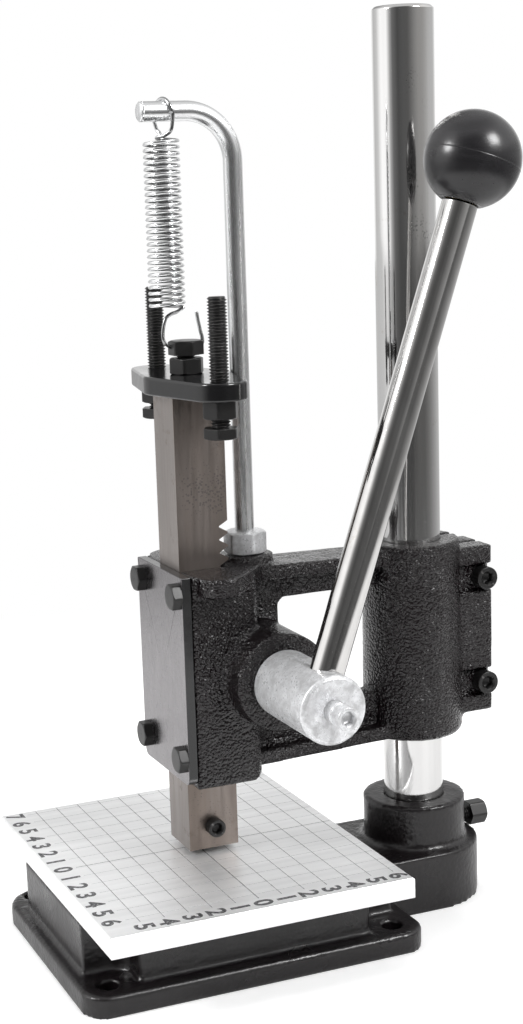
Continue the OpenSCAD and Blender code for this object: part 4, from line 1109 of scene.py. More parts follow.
@dataclass
class PlateScale(Group):
    """The scale printed on the work plate: centimetre lines and their figures."""

    body: Body = Body.BASE
    top: float = 38.9
    ink: float = 0.03
    zero_y: float = -3.6
    pitch: float = 10.0
    figure_h: float = 8.2
    front_row_y: float = -63.9
    right_column_x: float = 69.0
    rows: range = range(-5, 7)
    columns: range = range(-7, 7)
    x_ends: tuple[float, float] = (-72.5, 64.3)
    y_ends: tuple[float, float] = (-58.2, 59.6)
    line_half: float = 0.15
    zero_row_half: float = 0.24
    cross_half: float = 0.12
    zero_column_half: float = 0.19

    def bars(self, name: str, rows: np.ndarray, colour: Triple) -> None:
        """Flat printed bars, one per row of (x0, x1, y0, y1)."""
        corner = np.array([(x, y, z) for z in (0, 1) for x, y in ((0, 2), (1, 2), (1, 3), (0, 3))])
        x, y = rows[:, corner[:, 0]], rows[:, corner[:, 1]]
        z = np.broadcast_to(self.top + self.ink * (corner[:, 2] * 2 - 1), x.shape)
        sides = np.array([[0, 3, 2, 1], [4, 5, 6, 7], [0, 1, 5, 4], [1, 2, 6, 5], [2, 3, 7, 6], [3, 0, 4, 7]])
        faces = (np.arange(len(rows))[:, None, None] * 8 + sides[None]).reshape(-1, 4)
        piece = mesh_piece(name, np.stack([x, y, z], -1).reshape(-1, 3), faces, smooth=False)
        material = PrintInk(name + "_ink", colour, (0.72, 0.72, 0.73), 0.55).make()
        self.add(piece, Slot.PLATE, material=material)

    def lines(self) -> None:
        """Lines along X at each centimetre of Y, and fainter ones across them."""
        rows, columns = np.array(self.rows), np.array(self.columns)
        y = self.zero_y + self.pitch * rows
        x = self.pitch * columns
        half = np.where(rows == 0, self.zero_row_half, self.line_half)
        left, right = (np.full_like(y, end) for end in self.x_ends)
        front, back = (np.full_like(x, end) for end in self.y_ends)
        along = np.stack([left, right, y - half, y + half], 1)
        across = np.stack([x - self.cross_half, x + self.cross_half, front, back], 1)
        zero = np.array([[-self.zero_column_half, self.zero_column_half, *self.y_ends]])
        self.bars("plate_scale_lines", along, (0.14, 0.14, 0.145))
        self.bars("plate_scale_cross_lines", across[columns != 0], (0.38, 0.38, 0.385))
        self.bars("plate_scale_zero_line", zero, (0.16, 0.16, 0.165))

    def figure(self, text: str) -> tuple[np.ndarray, list[list[int]]]:
        """Points and faces of one figure, centred, of the scale's figure height."""
        slab, fatten = 0.05, 0.03
        curve = bpy.data.curves.new("figure", "FONT")
        curve.body, curve.size, curve.extrude = text, 1.0, slab
        curve.resolution_u, curve.offset = 5, fatten
        maker = bpy.data.objects.new("figure", curve)
        bpy.context.scene.collection.objects.link(maker)
        bpy.context.view_layer.update()
        mesh = bpy.data.meshes.new_from_object(maker)
        points = np.array([v.co[:] for v in mesh.vertices])
        faces = [list(p.vertices) for p in mesh.polygons]
        bpy.data.objects.remove(maker)
        bpy.data.curves.remove(curve)
        middle = (points.min(0) + points.max(0)) / 2
        tall = points[:, 1].max() - points[:, 1].min()
        points = (points - middle) * [self.figure_h / tall, self.figure_h / tall, self.ink / slab]
        return points, faces

    def figures(self) -> None:
        """7 to 0 to 6 along the front, and 5 to 0 to 6 up the right side, all read from the front."""
        shapes = {str(n): self.figure(str(n)) for n in range(8)}
        places = [(str(abs(n)), self.pitch * n, self.front_row_y) for n in self.columns]
        places += [(str(abs(n)), self.right_column_x, self.zero_y + self.pitch * n) for n in self.rows]
        points: list[np.ndarray] = []
        faces: list[list[int]] = []
        count = 0
        for text, x, y in places:
            shape, sides = shapes[text]
            points.append(shape + [x, y, self.top])
            faces.extend([[i + count for i in side] for side in sides])
            count += len(shape)
        mesh = bpy.data.meshes.new("plate_scale_figures")
        mesh.from_pydata((np.concatenate(points) * MM).tolist(), [], faces)
        piece = bpy.data.objects.new("plate_scale_figures", mesh)
        bpy.context.scene.collection.objects.link(piece)
        close_up(piece)
        material = PrintInk("plate_scale_figures_ink", (0.03, 0.03, 0.032), (0.6, 0.6, 0.61), 0.35).make()
        self.add(piece, Slot.PLATE, material=material)

    def build(self) -> None:
        """Prints the scale."""
        self.lines()
        self.figures()


@dataclass
class Column(Group):
    """Round chromed column, turned at both ends."""

    body: Body = Body.COLUMN
    y: float = 102.0
    radius: float = 13.1
    foot: float = 4.05
    top: float = 386.0
    chamfer: float = 1.2

    def build(self) -> None:
        """A turned bar with soft chamfers and a centre mark in its top."""
        r, c = self.radius, self.chamfer
        corners = [
            (0, self.foot, 0), (r - c, self.foot, 0.3), (r, self.foot + c, 0.3), (r, self.top - c, 0.35),
            (r - c, self.top, 0.35), (2.4, self.top, 0.2), (0.9, self.top - 1.5, 0.1), (0, self.top - 1.7, 0),
        ]
        piece = turned("column_bar", corners, Axis((0, self.y, 0)), 160)
        self.add(piece, Slot.COLUMN, "column")


@dataclass
class Head(Group):
    """Head casting with its face plate, screws, and the post that holds the spring."""

    body: Body = Body.HEAD
    throat: float = 102.0
    column_r: float = 13.1
    guide: float = 11.2
    block_half: float = 25.35
    block_mid: float = -1.65
    foot: float = 72.0
    top: float = 162.0
    shaft_y: float = 23.25
    shaft_z: float = 116.4
    bush_r: float = 12.0
    chamber_r: float = 16.35
    chamber_half: float = 11.4
    face_foot: float = 74.1
    face_h: float = 87.7
    face_t: float = 4.0
    face_r: float = 4.0
    bolt_x: float = 20.38
    bolt_mid: float = -0.99
    bolt_low: float = 11.0
    bolt_drop: float = 8.0
    bolt_flats: float = 10.0
    bolt_head: float = 4.0
    clamp_x: float = 9.0
    clamp_y: float = 132.2
    post_y: float = 23.4
    post_r: float = 4.0
    post_foot: float = 146.3
    post_arm_z: float = 345.8
    post_bend: float = 20.0
    post_tip_y: float = 16.4
    seat_top: float = 164.3
    nut_flats: float = 16.0
    nut_h: float = 9.4

    def casting(self) -> None:
        """The head's skin: crisp at the machined front and guide, rounded everywhere else."""

        def crisp(p: np.ndarray) -> np.ndarray:
            """Keeps the front face, the ram's guide and the walls of the bores."""
            front = 1 - ease(p[:, 1], -10.6, -8.8)
            guide = (1 - ease(np.maximum(np.abs(p[:, 0]), p[:, 1]), 11.6, 13.0)) * (p[:, 1] > -12)
            return np.clip(np.maximum(0.8 * front, 0.85 * guide), 0, 1)

        def fit(p: np.ndarray) -> np.ndarray:
            """Puts the front face, guide, column bore, pinion's chamber and shaft bore back in place."""
            p = p.copy()
            p[:, 1] = np.maximum(p[:, 1], -self.guide)
            g = self.guide
            inside = (np.abs(p[:, 0]) < g) & (p[:, 1] < g) & (p[:, 2] > self.foot - 1)
            side = inside & (np.abs(p[:, 0]) > p[:, 1])
            p[side, 0] = np.where(p[side, 0] < 0, -g, g)
            back = inside & ~side
            p[back, 1] = g
            p = open_bore(p, (0, self.throat), (0, 1), self.column_r + 0.12)
            chamber = np.abs(p[:, 0]) < self.chamber_half
            p[chamber] = open_bore(p[chamber], (self.shaft_y, self.shaft_z), (1, 2), self.chamber_r)
            return open_bore(p, (self.shaft_y, self.shaft_z), (1, 2), self.bush_r + 0.05)

        piece = Casting("head_casting", 0.95, 7, 0.13, 3).make("head_casting_skin", crisp, fit)
        self.add(piece, Slot.CASTING, "head_casting")

    def face_plate(self) -> None:
        """Ground plate on the block's front, with painted edges and rounded lower corners."""
        w, h, r = self.block_half, self.face_h, self.face_r
        corners = [(0, 0, 0), (w, 0, r), (w, h, 0.5), (-w, h, 0.5), (-w, 0, r), (0, 0, 0)]
        outline = rounded_line(corners, 8)[:-1]

        def place(local: np.ndarray) -> np.ndarray:
            """X across, Y up and height out of the block's front."""
            x = self.block_mid + local[..., 0]
            return np.stack([x, -self.guide - local[..., 2], self.face_foot + local[..., 1]], -1)

        piece = plaque("face_plate_ground", outline, edge_section(self.face_t, 0.35), place)
        self.add(piece, Slot.FACE, "face_plate")
        piece.data.materials.append(MATERIALS[Slot.STOP])
        normals = np.zeros(len(piece.data.polygons) * 3)
        piece.data.polygons.foreach_get("normal", normals)
        painted = (normals[1::3] > -0.8).astype(np.int32)
        piece.data.polygons.foreach_set("material_index", painted)

    def face_bolts(self) -> None:
        """Four hexagon head bolts in the face plate."""
        front = -self.guide - self.face_t
        for level, z in (("lower", self.bolt_low), ("upper", self.face_h - self.bolt_drop)):
            for hand, side in (("left", -1), ("right", 1)):
                x = self.bolt_mid + side * self.bolt_x
                axis = Axis((x, front, self.face_foot + z), (0, -1, 0), (1, 0, 0))
                name = f"face_plate_bolt_{level}_{hand}"
                piece = hexagon_piece(name, axis, self.bolt_flats, self.bolt_head)
                self.add(piece, Slot.BOLT, "face_plate_bolts")

    def clamp_screws(self) -> None:
        """Two socket screws that close the slit behind the column."""
        for name, z in (("lower", 95.4), ("upper", 142.8)):
            axis = Axis((self.clamp_x, self.clamp_y, z), (1, 0, 0), (0, 0, 1))
            head = socket_head(f"head_clamp_screw_{name}", axis, radius=5.0, height=6.0, key=5.0, depth=3.3)
            end = threaded_rod(f"head_clamp_thread_{name}", axis, radius=2.97, pitch=1.0, low=-20.0, high=0.5)
            self.add(head, Slot.BOLT, "head_clamp_screws")
            self.add(end, Slot.BOLT, "head_clamp_screws")

    def post(self) -> None:
        """Bent post: upright, quarter bend, and an arm towards the front with a bevelled tip."""
        straight = np.linspace(self.post_foot, self.post_arm_z - self.post_bend, 60)[:-1]
        turn = np.linspace(0, math.pi / 2, 40)
        arm = np.linspace(self.post_y - self.post_bend, -self.post_tip_y, 30)[1:]
        y = np.concatenate([
            np.full_like(straight, self.post_y),
            self.post_y - self.post_bend + self.post_bend * np.cos(turn), arm,
        ])
        z = np.concatenate([
            straight, self.post_arm_z - self.post_bend + self.post_bend * np.sin(turn),
            np.full_like(arm, self.post_arm_z),
        ])
        line = np.stack([np.zeros_like(y), y, z], 1)
        tip = np.array([[0, back - self.post_tip_y, self.post_arm_z] for back in (0.9, 0.35, 0.0)])
        line = np.concatenate([line[:-1], tip])
        radius = np.full(len(line), self.post_r)
        radius[-3:] = self.post_r * np.array([1.0, 0.95, 0.84])
        reference = np.tile([1.0, 0.0, 0.0], (len(line), 1))
        piece = drawn_bar("spring_post_bar", line, radius, reference, 64)
        self.add(piece, Slot.POST, "spring_post")

    def post_nut(self) -> None:
        """Bright nut that locks the post."""
        axis = Axis((0, self.post_y, self.seat_top))
        piece = hexagon_piece("post_nut_bright", axis, self.nut_flats, self.nut_h, both_ends=True)
        self.add(piece, Slot.HUB, "post_nut")

    def build(self) -> None:
        """Builds the group."""
        self.casting()
        self.face_plate()
        self.face_bolts()
        self.clamp_screws()
        self.post()
        self.post_nut()


@dataclass
class ReturnSpring:
    """Extension spring: one wire from the hook in the ram's top bolt to the loop over the post."""

    wire_r: float = 0.75
    coil_r: float = 6.75
    turns: int = 27
    axis_y: float = -7.3
    foot: float = 268.4
    head: float = 334.5
    hole_z: float = 252.2
    arm_z: float = 345.8
    post_r: float = 4.0
    head_side: float = 6.5
    per_turn: int = 30

    def lower_hook(self) -> np.ndarray:
        """Corner points of the hook through the bolt's cross hole, free end first."""
        rise = self.foot - self.hole_z
        rows = np.array([
            (0.80, 0.87), (0.88, 0.66), (1.00, 0.42), (1.13, 0.19), (1.08, 0.05), (0.70, 0.0), (0.25, 0.0),
            (-0.25, 0.0), (-0.80, 0.0), (-1.20, 0.07), (-1.45, 0.19), (-1.50, 0.36), (-1.40, 0.60),
            (-1.24, 0.75), (-0.92, 0.84), (-0.50, 0.89),
        ])
        points = np.stack([0 * rows[:, 0], rows[:, 0] * self.head_side, self.hole_z + rows[:, 1] * rise], 1)
        last = [self.wire_r * 0.2, self.axis_y + self.coil_r * 0.86, self.foot - rise * 0.05]
        return np.concatenate([points, [last]])

    def coils(self) -> np.ndarray:
        """The coils: a right-hand helix that starts at the back."""
        turn = math.pi / 2 + np.arange(self.turns * self.per_turn + 1) * FULL_TURN / self.per_turn
        z = np.linspace(self.foot, self.head, len(turn))
        return np.stack([self.coil_r * np.cos(turn), self.axis_y + self.coil_r * np.sin(turn), z], 1)

    def upper_hook(self) -> np.ndarray:
        """Corner points of the loop over the post's arm, from the last coil."""
        d, r, y = self.wire_r * 2, self.coil_r, self.axis_y
        start = np.array([
            [-r * 0.62, y + r * 0.66, self.head + d * 0.3], [-r * 0.66, y + r * 0.05, self.head + d * 0.6],
            [-r * 0.2, y - r * 0.12, self.head + d * 0.9], [r * 0.3, y + r * 0.15, self.head + d * 1.3],
            [r * 0.65, y + r * 0.42, self.head + d * 2.7],
        ])
        loop_r = self.post_r + self.wire_r + 0.15
        turn = np.radians(np.arange(110.0, -111.0, -22.0))
        loop = np.stack([
            loop_r * np.sin(turn), y * 0.83 + 2 * turn / (math.pi / 2), self.arm_z + loop_r * np.cos(turn),
        ], 1)
        end = np.array([
            [-r * 0.64, y, self.head + d * 3.2], [-r * 0.46, y + r * 0.1, self.head + d * 2.2],
            [-r * 0.3, y + r * 0.12, self.head + d * 1.3],
        ])
        return np.concatenate([start, loop, end])

    @staticmethod
    def smoothed(points: np.ndarray, steps: int) -> np.ndarray:
        """Cubic through the points: each span blends its four nearest points by the usual weights."""
        padded = np.concatenate([points[:1], points, points[-1:]])
        a, b, c, d = (padded[i:len(padded) - 3 + i, None] for i in range(4))
        t = (np.arange(steps) / steps)[None, :, None]
        square, cube = 2 * a - 5 * b + 4 * c - d, 3 * b - a - 3 * c + d
        curve = 0.5 * (2 * b + (c - a) * t + square * t**2 + cube * t**3)
        return np.concatenate([curve.reshape(-1, 3), points[-1:]])

    def build(self) -> None:
        """One wire, from the lower hook through the coils to the loop over the post."""
        coils = self.coils()
        step, fine = self.per_turn // 8, 7
        low = self.smoothed(np.concatenate([self.lower_hook(), coils[[0, step]]]), fine)[:-fine - 1]
        high = self.smoothed(np.concatenate([coils[[-1 - step, -1]], self.upper_hook()]), fine)[fine + 1:]
        line = np.concatenate([low, coils, high])
        apart = np.linalg.norm(np.diff(line, axis=0), axis=1)
        line = line[np.concatenate([[True], apart > 0.05])]
        radius = np.full(len(line), self.wire_r)
        radius[[0, -1]] *= 0.8
        tangent = unit(np.gradient(line, axis=0))
        level = ease(np.abs(tangent[:, 2]), 0.35, 0.6)[:, None]
        in_coils = ((line[:, 2] > self.foot - 0.5) & (line[:, 2] < self.head + 1.0))[:, None]
        share = np.where(in_coils, level, 1.0)
        share = np.convolve(np.pad(share[:, 0], 4, mode="edge"), np.ones(9) / 9, "valid")[:, None]
        reference = (1 - share) * np.array([0.0, 0.0, 1.0]) + share * self.hook_side(line)
        piece = drawn_bar("return_spring_wire", line, radius, reference, 14)
        piece.data.materials.append(MATERIALS[Slot.SPRING])
        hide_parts("return_spring")
        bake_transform(piece)
        log.info("return spring: %s, %d faces", piece.name, len(piece.data.polygons))

    def hook_side(self, line: np.ndarray) -> np.ndarray:
        """Reference vector in the hooks: across the lower hook's plane, along the post in the loop."""
        upper = ease(line[:, 2], self.head - 5, self.head + 1)[:, None]
        return (1 - upper) * np.array([1.0, 0.0, 0.0]) + upper * np.array([0.0, 1.0, 0.0])


@dataclass
class Lever(Group):
    """Hub, its end screw, the tilted rod and the ball knob."""

    body: Body = Body.LEVER
    shaft_y: float = 23.25
    shaft_z: float = 116.4
    hub_r: float = 14.0
    hub_start: float = 36.6
    hub_end: float = 81.6
    rod_x: float = 67.2
    rod_r: float = 7.0
    hole_gap: float = 0.12
    spot_r: float = 7.75
    spot_z: float = 12.9
    rod_start: float = -7.7
    knob_r: float = 19.0
    knob_at: float = 218.0
    knob_flat_r: float = 8.5
    spacer_h: float = 5.9

    def rod_axis(self) -> Axis:
        """The rod's axis: up, tilted towards the column."""
        tilt = LEVER_TILT
        return Axis((self.rod_x, self.shaft_y, self.shaft_z), (0, math.sin(tilt), math.cos(tilt)), (1, 0, 0))

    def hub(self) -> None:
        """Turned hub, cut for the rod by the rod's own cylinder and a shallow spot face."""
        r, end = self.hub_r, self.hub_end - self.hub_start
        axis = Axis((self.hub_start, self.shaft_y, self.shaft_z), (1, 0, 0), (0, 0, 1))
        corners = [
            (0, 0, 0), (r - 0.6, 0, 0.3), (r, 0.6, 0.3), (r, end - 1.3, 0.5), (r - 1.3, end, 0.5),
            (r * 0.5, end - 0.12, 0.3), (0, end - 0.12, 0),
        ]
        piece = turned("lever_hub_turned", corners, axis, 128)
        hole, spot, low, high = self.rod_r + self.hole_gap, self.spot_r, self.rod_start - 0.2, 2 * r
        ledge = self.spot_z
        section = [
            (0, low, 0), (hole, low, 0), (hole, ledge, 0), (spot, ledge + 0.3, 0), (spot, high, 0),
            (0, high, 0),
        ]
        cut = turned("hub_cut", section, self.rod_axis(), 96)
        carve = piece.modifiers.new("rod", "BOOLEAN")
        carve.operation, carve.solver, carve.object = "DIFFERENCE", "EXACT", cut
        settled(piece)
        bpy.data.objects.remove(cut)
        level = piece.modifiers.new("level", "WEIGHTED_NORMAL")
        level.keep_sharp = True
        self.add(piece, Slot.HUB, "lever_hub")

    def end_screw(self) -> None:
        """Screw in the hub's end: a spacer with a collar, then a socket head."""
        axis = Axis((self.hub_end, self.shaft_y, self.shaft_z), (1, 0, 0), (0, 0, 1))
        r, collar, high = 4.6, 4.1, self.spacer_h
        section = [
            (0, -0.3, 0), (r, -0.3, 0), (r, 4.6, 0.3), (collar, 5.0, 0.2), (collar, high, 0), (0, high, 0),
        ]
        spacer = turned("lever_screw_spacer", section, axis, 64)
        crown = Axis((self.hub_end + high, self.shaft_y, self.shaft_z), (1, 0, 0), (0, 0.3, 1))
        head = socket_head("lever_screw_head", crown, radius=4.7, height=6.1, key=5.0, depth=3.2)
        self.add(spacer, Slot.HUB, "lever_clamp_screw")
        self.add(head, Slot.HUB, "lever_clamp_screw")

    def rod(self) -> None:
        """Chromed rod from the hub to the knob."""
        low, r = self.rod_start, self.rod_r
        end = self.knob_at - math.sqrt(self.knob_r**2 - self.knob_flat_r**2)
        corners = [
            (0, low, 0), (r - 0.4, low, 0.2), (r, low + 0.4, 0.2),
            (r, end - 0.6, 0.3), (r - 0.6, end + 0.05, 0.2), (0, end + 0.05, 0),
        ]
        piece = turned("lever_rod_bar", corners, self.rod_axis(), 128)
        self.add(piece, Slot.LEVER, "lever_rod")

    def knob(self) -> None:
        """Ball with a flat foot.

        A ring at angle a from the rod's axis has radius R sin a and height R cos a, and a thin
        ridge exp(-(a - 90 deg)^2 / w^2) stands on it at the moulding seam.
        """
        low = math.pi - math.asin(self.knob_flat_r / self.knob_r)
        seam, tall = math.pi / 2, 0.09
        angle = np.concatenate([
            np.linspace(0, seam - 0.03, 70), np.linspace(-0.025, 0.025, 21) + seam,
            np.linspace(seam + 0.03, low - 0.02, 60),
        ])
        ridge = tall * np.exp(-((angle - seam) / 0.009) ** 2)
        reach = self.knob_r - tall + ridge
        rows = np.stack([reach * np.sin(angle), self.knob_at + reach * np.cos(angle)], 1)
        foot = self.knob_at + self.knob_r * math.cos(low)
        mouth, deep = self.rod_r + 0.2, foot + 0.6
        lip = rounded_line([
            (*rows[-1], 0), (self.knob_flat_r, foot, 0.35), (mouth, foot, 0.1),
            (mouth, deep, 0), (0, deep, 0),
        ])
        grid = turned_grid(np.concatenate([rows[:-1], lip]), self.rod_axis(), 160)
        piece = skin("ball_knob_moulded", grid)
        self.add(piece, Slot.KNOB, "ball_knob")

    def build(self) -> None:
        """Builds the group."""
        self.hub()
        self.end_screw()
        self.rod()
        self.knob()


POINTS_OUT = (math.cos(math.pi / 6), 0.5, 0)
M8_THREAD = (3.95, 1.25)


@dataclass
class RamGroup(Group):
    """Ram, its tool screw, the stop plate and everything bolted to it."""

    body: Body = Body.RAM
    top: float = 233.9
    stop_t: float = 7.5
    stop_mid_r: float = 18.2
    stop_end_r: float = 11.0
    stop_x: float = 34.0
    stop_nut_h: float = 7.4
    top_nut_h: float = 6.6
    bolt_head_z: float = 249.2
    bolt_head_h: float = 5.8
    tool_screw_z: float = 50.7
    ram_half: float = 11.0
    flats: float = 13.0

    def bar(self) -> None:
        """Square ram with its rack, edges broken."""
        piece = softened("ram_bar", "ram", 0.3)
        self.add(piece, Slot.RAM, "ram")

    def tool_screw(self) -> None:
        """Socket screw that holds the tool."""
        axis = Axis((self.ram_half + 0.05, 0, self.tool_screw_z), (1, 0, 0), (0, 0, 1))
        piece = socket_head("tool_screw_head", axis, radius=3.8, height=4.4, key=4.0, depth=2.6)
        self.add(piece, Slot.BOLT, "tool_screw")

    def stop_outline(self) -> np.ndarray:
        """Outline of the stop plate: arcs round the middle and both ends, and the tangents between."""
        swing = math.acos((self.stop_mid_r - self.stop_end_r) / self.stop_x)
        end = np.linspace(-swing, swing, 60)
        middle = np.linspace(swing, math.pi - swing, 40)
        right = np.stack([self.stop_x + self.stop_end_r * np.cos(end), self.stop_end_r * np.sin(end)], 1)
        top = self.stop_mid_r * np.stack([np.cos(middle), np.sin(middle)], 1)
        return np.concatenate([right, top, -right, -top])

    def stop_plate(self) -> None:
        """Enamelled plate with rounded edges."""
        piece = plaque(
            "stop_plate_enamelled", self.stop_outline(), edge_section(self.stop_t, 1.1),
            lambda local: local + [0, 0, self.top],
        )
        self.add(piece, Slot.STOP, "stop_plate")

    def lock_nuts(self) -> None:
        """Nuts under the stop plate."""
        for name, side in (("right", 1), ("left", -1)):
            axis = Axis((side * self.stop_x, 0, self.top), (0, 0, -1), POINTS_OUT)
            piece = hexagon_piece(f"stop_lock_nut_{name}", axis, self.flats, self.stop_nut_h, both_ends=True)
            self.add(piece, Slot.BOLT, "stop_lock_nuts")

    def top_bolt(self) -> None:
        """Bolt with the spring's cross hole, over its nut."""
        low, high = self.top + self.stop_t, self.bolt_head_z
        axis = Axis((0, 0, low), (0, 0, 1), POINTS_OUT)
        nut = hexagon_piece("ram_top_nut_black", axis, self.flats, self.top_nut_h, True)
        head = hexagon_piece("ram_top_bolt_head", Axis((0, 0, high)), self.flats, self.bolt_head_h)
        thread = threaded_rod("ram_top_bolt_thread", Axis(), *M8_THREAD, low - 14, high + 0.5)
        self.add(nut, Slot.BOLT, "ram_top_nut")
        self.add(head, Slot.BOLT, "ram_top_bolt")
        self.add(thread, Slot.BOLT, "ram_top_bolt")

    def build(self) -> None:
        """Builds the group."""
        self.bar()
        self.tool_screw()
        self.stop_plate()
        self.lock_nuts()
        self.top_bolt()


@dataclass
class StopBolt(Group):
    """One adjustable stop bolt, head down, threaded over its whole length."""

    body: Body
    side: int
    show: float
    ram_top: float = 233.9
    nut_h: float = 7.4
    x: float = 34.0
    length: float = 51.2
    head_h: float = 4.3
    flats: float = 13.0

    def build(self) -> None:
        """Head and threaded shank."""
        node = self.body.value
        foot = self.ram_top - self.nut_h - self.show
        down = Axis((self.side * self.x, 0, foot), (0, 0, -1), POINTS_OUT)
        head = hexagon_piece(f"{node}_head", down, self.flats, self.head_h)
        axis = Axis((self.side * self.x, 0, 0))
        thread = threaded_rod(f"{node}_thread", axis, *M8_THREAD, foot - 0.6, foot + self.length)
        self.add(head, Slot.BOLT, node)
        self.add(thread, Slot.BOLT, node)


class CarriedNodes:
    """The CAD nodes that stay in view, each with its slot's material."""

    @staticmethod
    def build() -> None:
        """Puts each shown node's material in its object's slots."""
        rows = {row["node"]: row["material_slot"] for row in frame["record"]["subparts"]}
        for name, node in frame["nodes"].items():
            material = MATERIALS[Slot(rows[name])]
            node.data.materials.clear()
            node.data.materials.append(material)
        log.info("carried nodes: %d", sum(not node.hide_render for node in frame["nodes"].values()))


# Studio


@dataclass(frozen=True)
class Softbox:
    """A square lamp that faces the object, and shows in glossy surfaces where it is mirrored."""

    name: str
    towards: Triple
    distance: float
    size: float
    power: float
    mirrored: bool = True


@dataclass
class Studio:
    """Pale floor, soft light and the photograph's camera.

    walls, cove and far_floor hold (bearing in degrees, brightness) stops for what glossy surfaces
    see at eye level, above it, and on the floor far away. far_from and white_from are the distances
    in metres over which the floor turns into far_floor in reflections, and into white in the picture.
    """

    image: tuple[int, int] = (523, 1024)
    focal_px: float = 1761.858
    centre_px: tuple[float, float] = (191.513, 524.438)
    camera_at: Triple = (666.442, -265.525, 316.784)
    right: Triple = (0.3760214, 0.9258415, -0.037756)
    down: Triple = (0.1613619, -0.1055505, -0.9812347)
    forward: Triple = (-0.9124529, 0.3628728, -0.1890848)
    middle: Triple = (0.0, 40.0, 190.0)
    ambient: float = 0.5
    walls: Stops = (
        (-180, 1.25), (-152, 1.1), (-142, 0.7), (-118, 0.85), (-108, 1.2), (-96, 1.5), (-70, 1.5),
        (-56, 0.5), (-46, 0.2), (-26, 0.1), (-7, 0.13), (11, 0.14), (29, 0.27), (48, 0.43), (69, 0.47),
        (94, 0.62), (128, 0.65), (150, 1.0), (180, 1.25),
    )
    far_floor: Stops = (
        (-180, 0.7), (-140, 0.7), (-108, 0.8), (-83, 1.0), (-62, 0.5), (-43, 0.15), (-25, 0.1),
        (12, 0.08), (35, 0.15), (62, 0.15), (87, 0.28), (128, 0.55), (180, 0.7),
    )
    cove: Stops = (
        (-180, 0.45), (-165, 0.4), (-152, 0.5), (-141, 0.8), (-106, 1.1), (-88, 1.6), (-70, 1.6),
        (-49, 0.5), (-38, 0.22), (-26, 0.14), (-4, 0.08), (16, 0.16), (30, 0.5), (42, 1.4), (60, 1.5),
        (99, 1.3), (130, 1.0), (180, 0.45),
    )
    ceiling: float = 0.8
    floor_glow: float = 0.22
    far_from: tuple[float, float] = (0.5, 0.68)
    white_from: tuple[float, float] = (0.3, 0.6)
    lamps: tuple[Softbox, ...] = (
        Softbox("softbox_right", (0.6481, 0.4028, 0.6463), 1.3, 0.4, 11.0),
        Softbox("softbox_left", (-0.0078, -0.8511, 0.525), 1.3, 0.34, 9.5),
        Softbox("softbox_top", (-0.35, 0.1, 0.93), 1.4, 0.9, 9.0, False),
    )

    def camera(self) -> None:
        """Camera whose frame matches the photograph's, through a shift of the principal point."""
        wide, tall = self.image
        data = bpy.data.cameras.new("photo_camera")
        data.sensor_width = 36.0
        data.lens = self.focal_px / tall * data.sensor_width
        data.shift_x = (wide / 2 - self.centre_px[0]) / tall
        data.shift_y = (self.centre_px[1] - tall / 2) / tall
        data.clip_start, data.clip_end = 0.05, 50.0
        camera = bpy.data.objects.new("photo_camera", data)
        bpy.context.scene.collection.objects.link(camera)
        turn = np.stack([self.right, -np.array(self.down), -np.array(self.forward)], 1)
        matrix = np.eye(4)
        matrix[:3, :3] = turn
        matrix[:3, 3] = np.array(self.camera_at) * MM
        camera.matrix_world = Matrix(matrix.tolist())
        bpy.context.scene.camera = camera

    def surroundings(self, tree: Tree, direction: Socket, stops: Stops) -> Socket:
        """Brightness that glossy surfaces see, by the bearing of a direction from the camera's side.

        The bearing is atan2(d . right, -d . forward) on the level, from -180 to 180 degrees.

        Args:
            tree: the tree to build in.
            direction: the direction looked along.
            stops: (bearing in degrees, brightness) from -180 to 180.

        Returns:
            The brightness, as a colour.
        """
        side = tree.node("ShaderNodeVectorMath", operation="DOT_PRODUCT")
        front = tree.node("ShaderNodeVectorMath", operation="DOT_PRODUCT")
        right = unit(np.array([self.right[0], self.right[1], 0.0]))
        back = unit(np.array([-self.forward[0], -self.forward[1], 0.0]))
        for node, axis in ((side, right), (front, back)):
            tree.feed(node.inputs[0], direction)
            node.inputs[1].default_value = tuple(axis)
        turn = tree.math("ARCTAN2", side.outputs["Value"], front.outputs["Value"])
        share = tree.spread(turn, -math.pi, math.pi, 0.0, 1.0)
        ramp = tree.node("ShaderNodeValToRGB", {"Fac": share})
        elements = ramp.color_ramp.elements
        for bearing, value in stops:
            at = bearing / 360 + 0.5
            element = elements[0] if at == 0 else elements[-1] if at == 1 else elements.new(at)
            element.color = (value, value, value, 1.0)
        return ramp.outputs[0]

    def world(self) -> None:
        """White behind the object, an even pale light on it, and dim walls for reflections."""
        world = bpy.data.worlds.new("studio_world")
        world.use_nodes = True
        bpy.context.scene.world = world
        t = Tree(world.node_tree)
        path = t.node("ShaderNodeLightPath")
        direction = t.node("ShaderNodeTexCoord").outputs["Generated"]
        even = t.node("ShaderNodeBackground", {"Color": WHITE, "Strength": self.ambient})
        rise = t.node("ShaderNodeSeparateXYZ", {"Vector": direction}).outputs[2]
        cove = self.surroundings(t, direction, self.cove)
        upper = t.blend(t.spread(rise, 0.72, 0.9, 0.0, 1.0), cove, (self.ceiling,) * 3)
        lower = self.surroundings(t, direction, self.walls)
        walls = t.blend(t.spread(rise, 0.2, 0.36, 0.0, 1.0), lower, upper)
        seen = t.node("ShaderNodeBackground", {"Color": walls, "Strength": 1.0})
        white = t.node("ShaderNodeBackground", {"Color": WHITE, "Strength": 1.0})
        clear = t.math("MAXIMUM", path.outputs["Is Camera Ray"], path.outputs["Is Transmission Ray"])
        glossy = t.layer(path.outputs["Is Glossy Ray"], even.outputs[0], seen.outputs[0])
        final = t.layer(clear, glossy, white.outputs[0])
        t.feed(t.node("ShaderNodeOutputWorld").inputs[0], final)

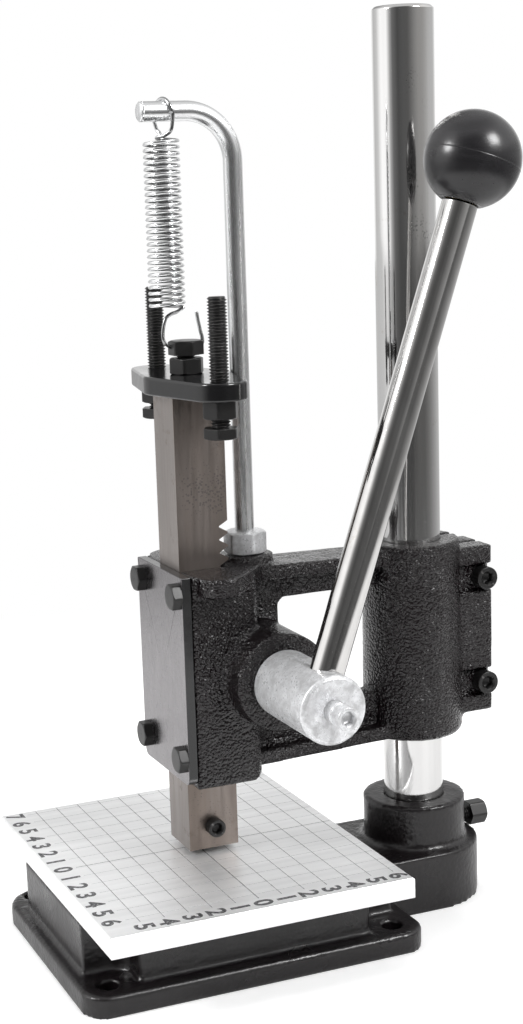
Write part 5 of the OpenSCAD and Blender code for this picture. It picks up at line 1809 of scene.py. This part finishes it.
    def floor(self) -> None:
        """Pale floor that keeps the shadow and shows as white in the picture and in metal near it."""
        reach, drop = 6000.0, 0.05
        points = np.array([[x * reach, y * reach, -drop] for x, y in ((-1, -1), (1, -1), (1, 1), (-1, 1))])
        floor = mesh_piece("studio_floor", points, np.array([[0, 1, 2, 3]]), smooth=False)
        material = bpy.data.materials.new("studio_floor")
        material.use_nodes = True
        t = Tree(material.node_tree)
        at = t.place()
        path = t.node("ShaderNodeLightPath")
        camera, glossy = path.outputs["Is Camera Ray"], path.outputs["Is Glossy Ray"]
        grain = t.spread(t.noise(at, 9.0, 2.0), 0.3, 0.7, 0.9, 0.93)
        grey = t.node("ShaderNodeCombineColor", {"Red": grain, "Green": grain, "Blue": grain}).outputs[0]
        shade = t.node("ShaderNodeBsdfDiffuse", {"Color": grey}).outputs[0]
        glow = t.emission(WHITE, t.math("MULTIPLY", camera, self.floor_glow))
        near = t.node("ShaderNodeAddShader", {0: shade, 1: glow}).outputs[0]
        away = t.node("ShaderNodeVectorMath", operation="LENGTH")
        t.feed(away.inputs[0], at)
        away = away.outputs["Value"]
        dim = t.emission(self.surroundings(t, at, self.far_floor), 1.0)
        share = t.math("MULTIPLY", t.spread(away, *self.far_from, 0.0, 1.0), glossy)
        seen = t.layer(share, near, dim)
        share = t.math("MULTIPLY", t.spread(away, *self.white_from, 0.0, 1.0), camera)
        final = t.layer(share, seen, t.emission(WHITE, 1.0))
        t.feed(t.node("ShaderNodeOutputMaterial").inputs[0], final)
        floor.data.materials.append(material)

    def light(self) -> None:
        """Softboxes, which the camera doesn't see."""
        middle = np.array(self.middle) * MM
        for lamp in self.lamps:
            data = bpy.data.lights.new(lamp.name, "AREA")
            data.shape, data.size, data.energy = "SQUARE", lamp.size, lamp.power
            light = bpy.data.objects.new(lamp.name, data)
            bpy.context.scene.collection.objects.link(light)
            towards = unit(np.array(lamp.towards))
            side = unit(np.cross([0.0, 0.0, 1.0], towards))
            matrix = np.eye(4)
            matrix[:3, :3] = np.stack([side, np.cross(towards, side), towards], 1)
            matrix[:3, 3] = middle + towards * lamp.distance
            light.matrix_world = Matrix(matrix.tolist())
            light.visible_camera = False
            light.visible_glossy = lamp.mirrored

    def build(self) -> None:
        """Sets up the studio."""
        bpy.context.scene.view_settings.view_transform = "Standard"
        self.camera()
        self.world()
        self.floor()
        self.light()
        log.info("studio: camera, floor, %d lamps", len(self.lamps))


def main() -> None:
    """Builds the studio and the sub-assemblies in order, then gives the carried nodes their materials."""
    logging.basicConfig(level=logging.INFO, format="%(name)s %(message)s")
    Studio().build()
    Base().build()
    PlateScale().build()
    Column().build()
    Head().build()
    ReturnSpring().build()
    Lever().build()
    RamGroup().build()
    StopBolt(Body.STOP_RIGHT, 1, 3.6).build()
    StopBolt(Body.STOP_LEFT, -1, 2.4).build()
    CarriedNodes.build()


if __name__ == "__main__":
    main()
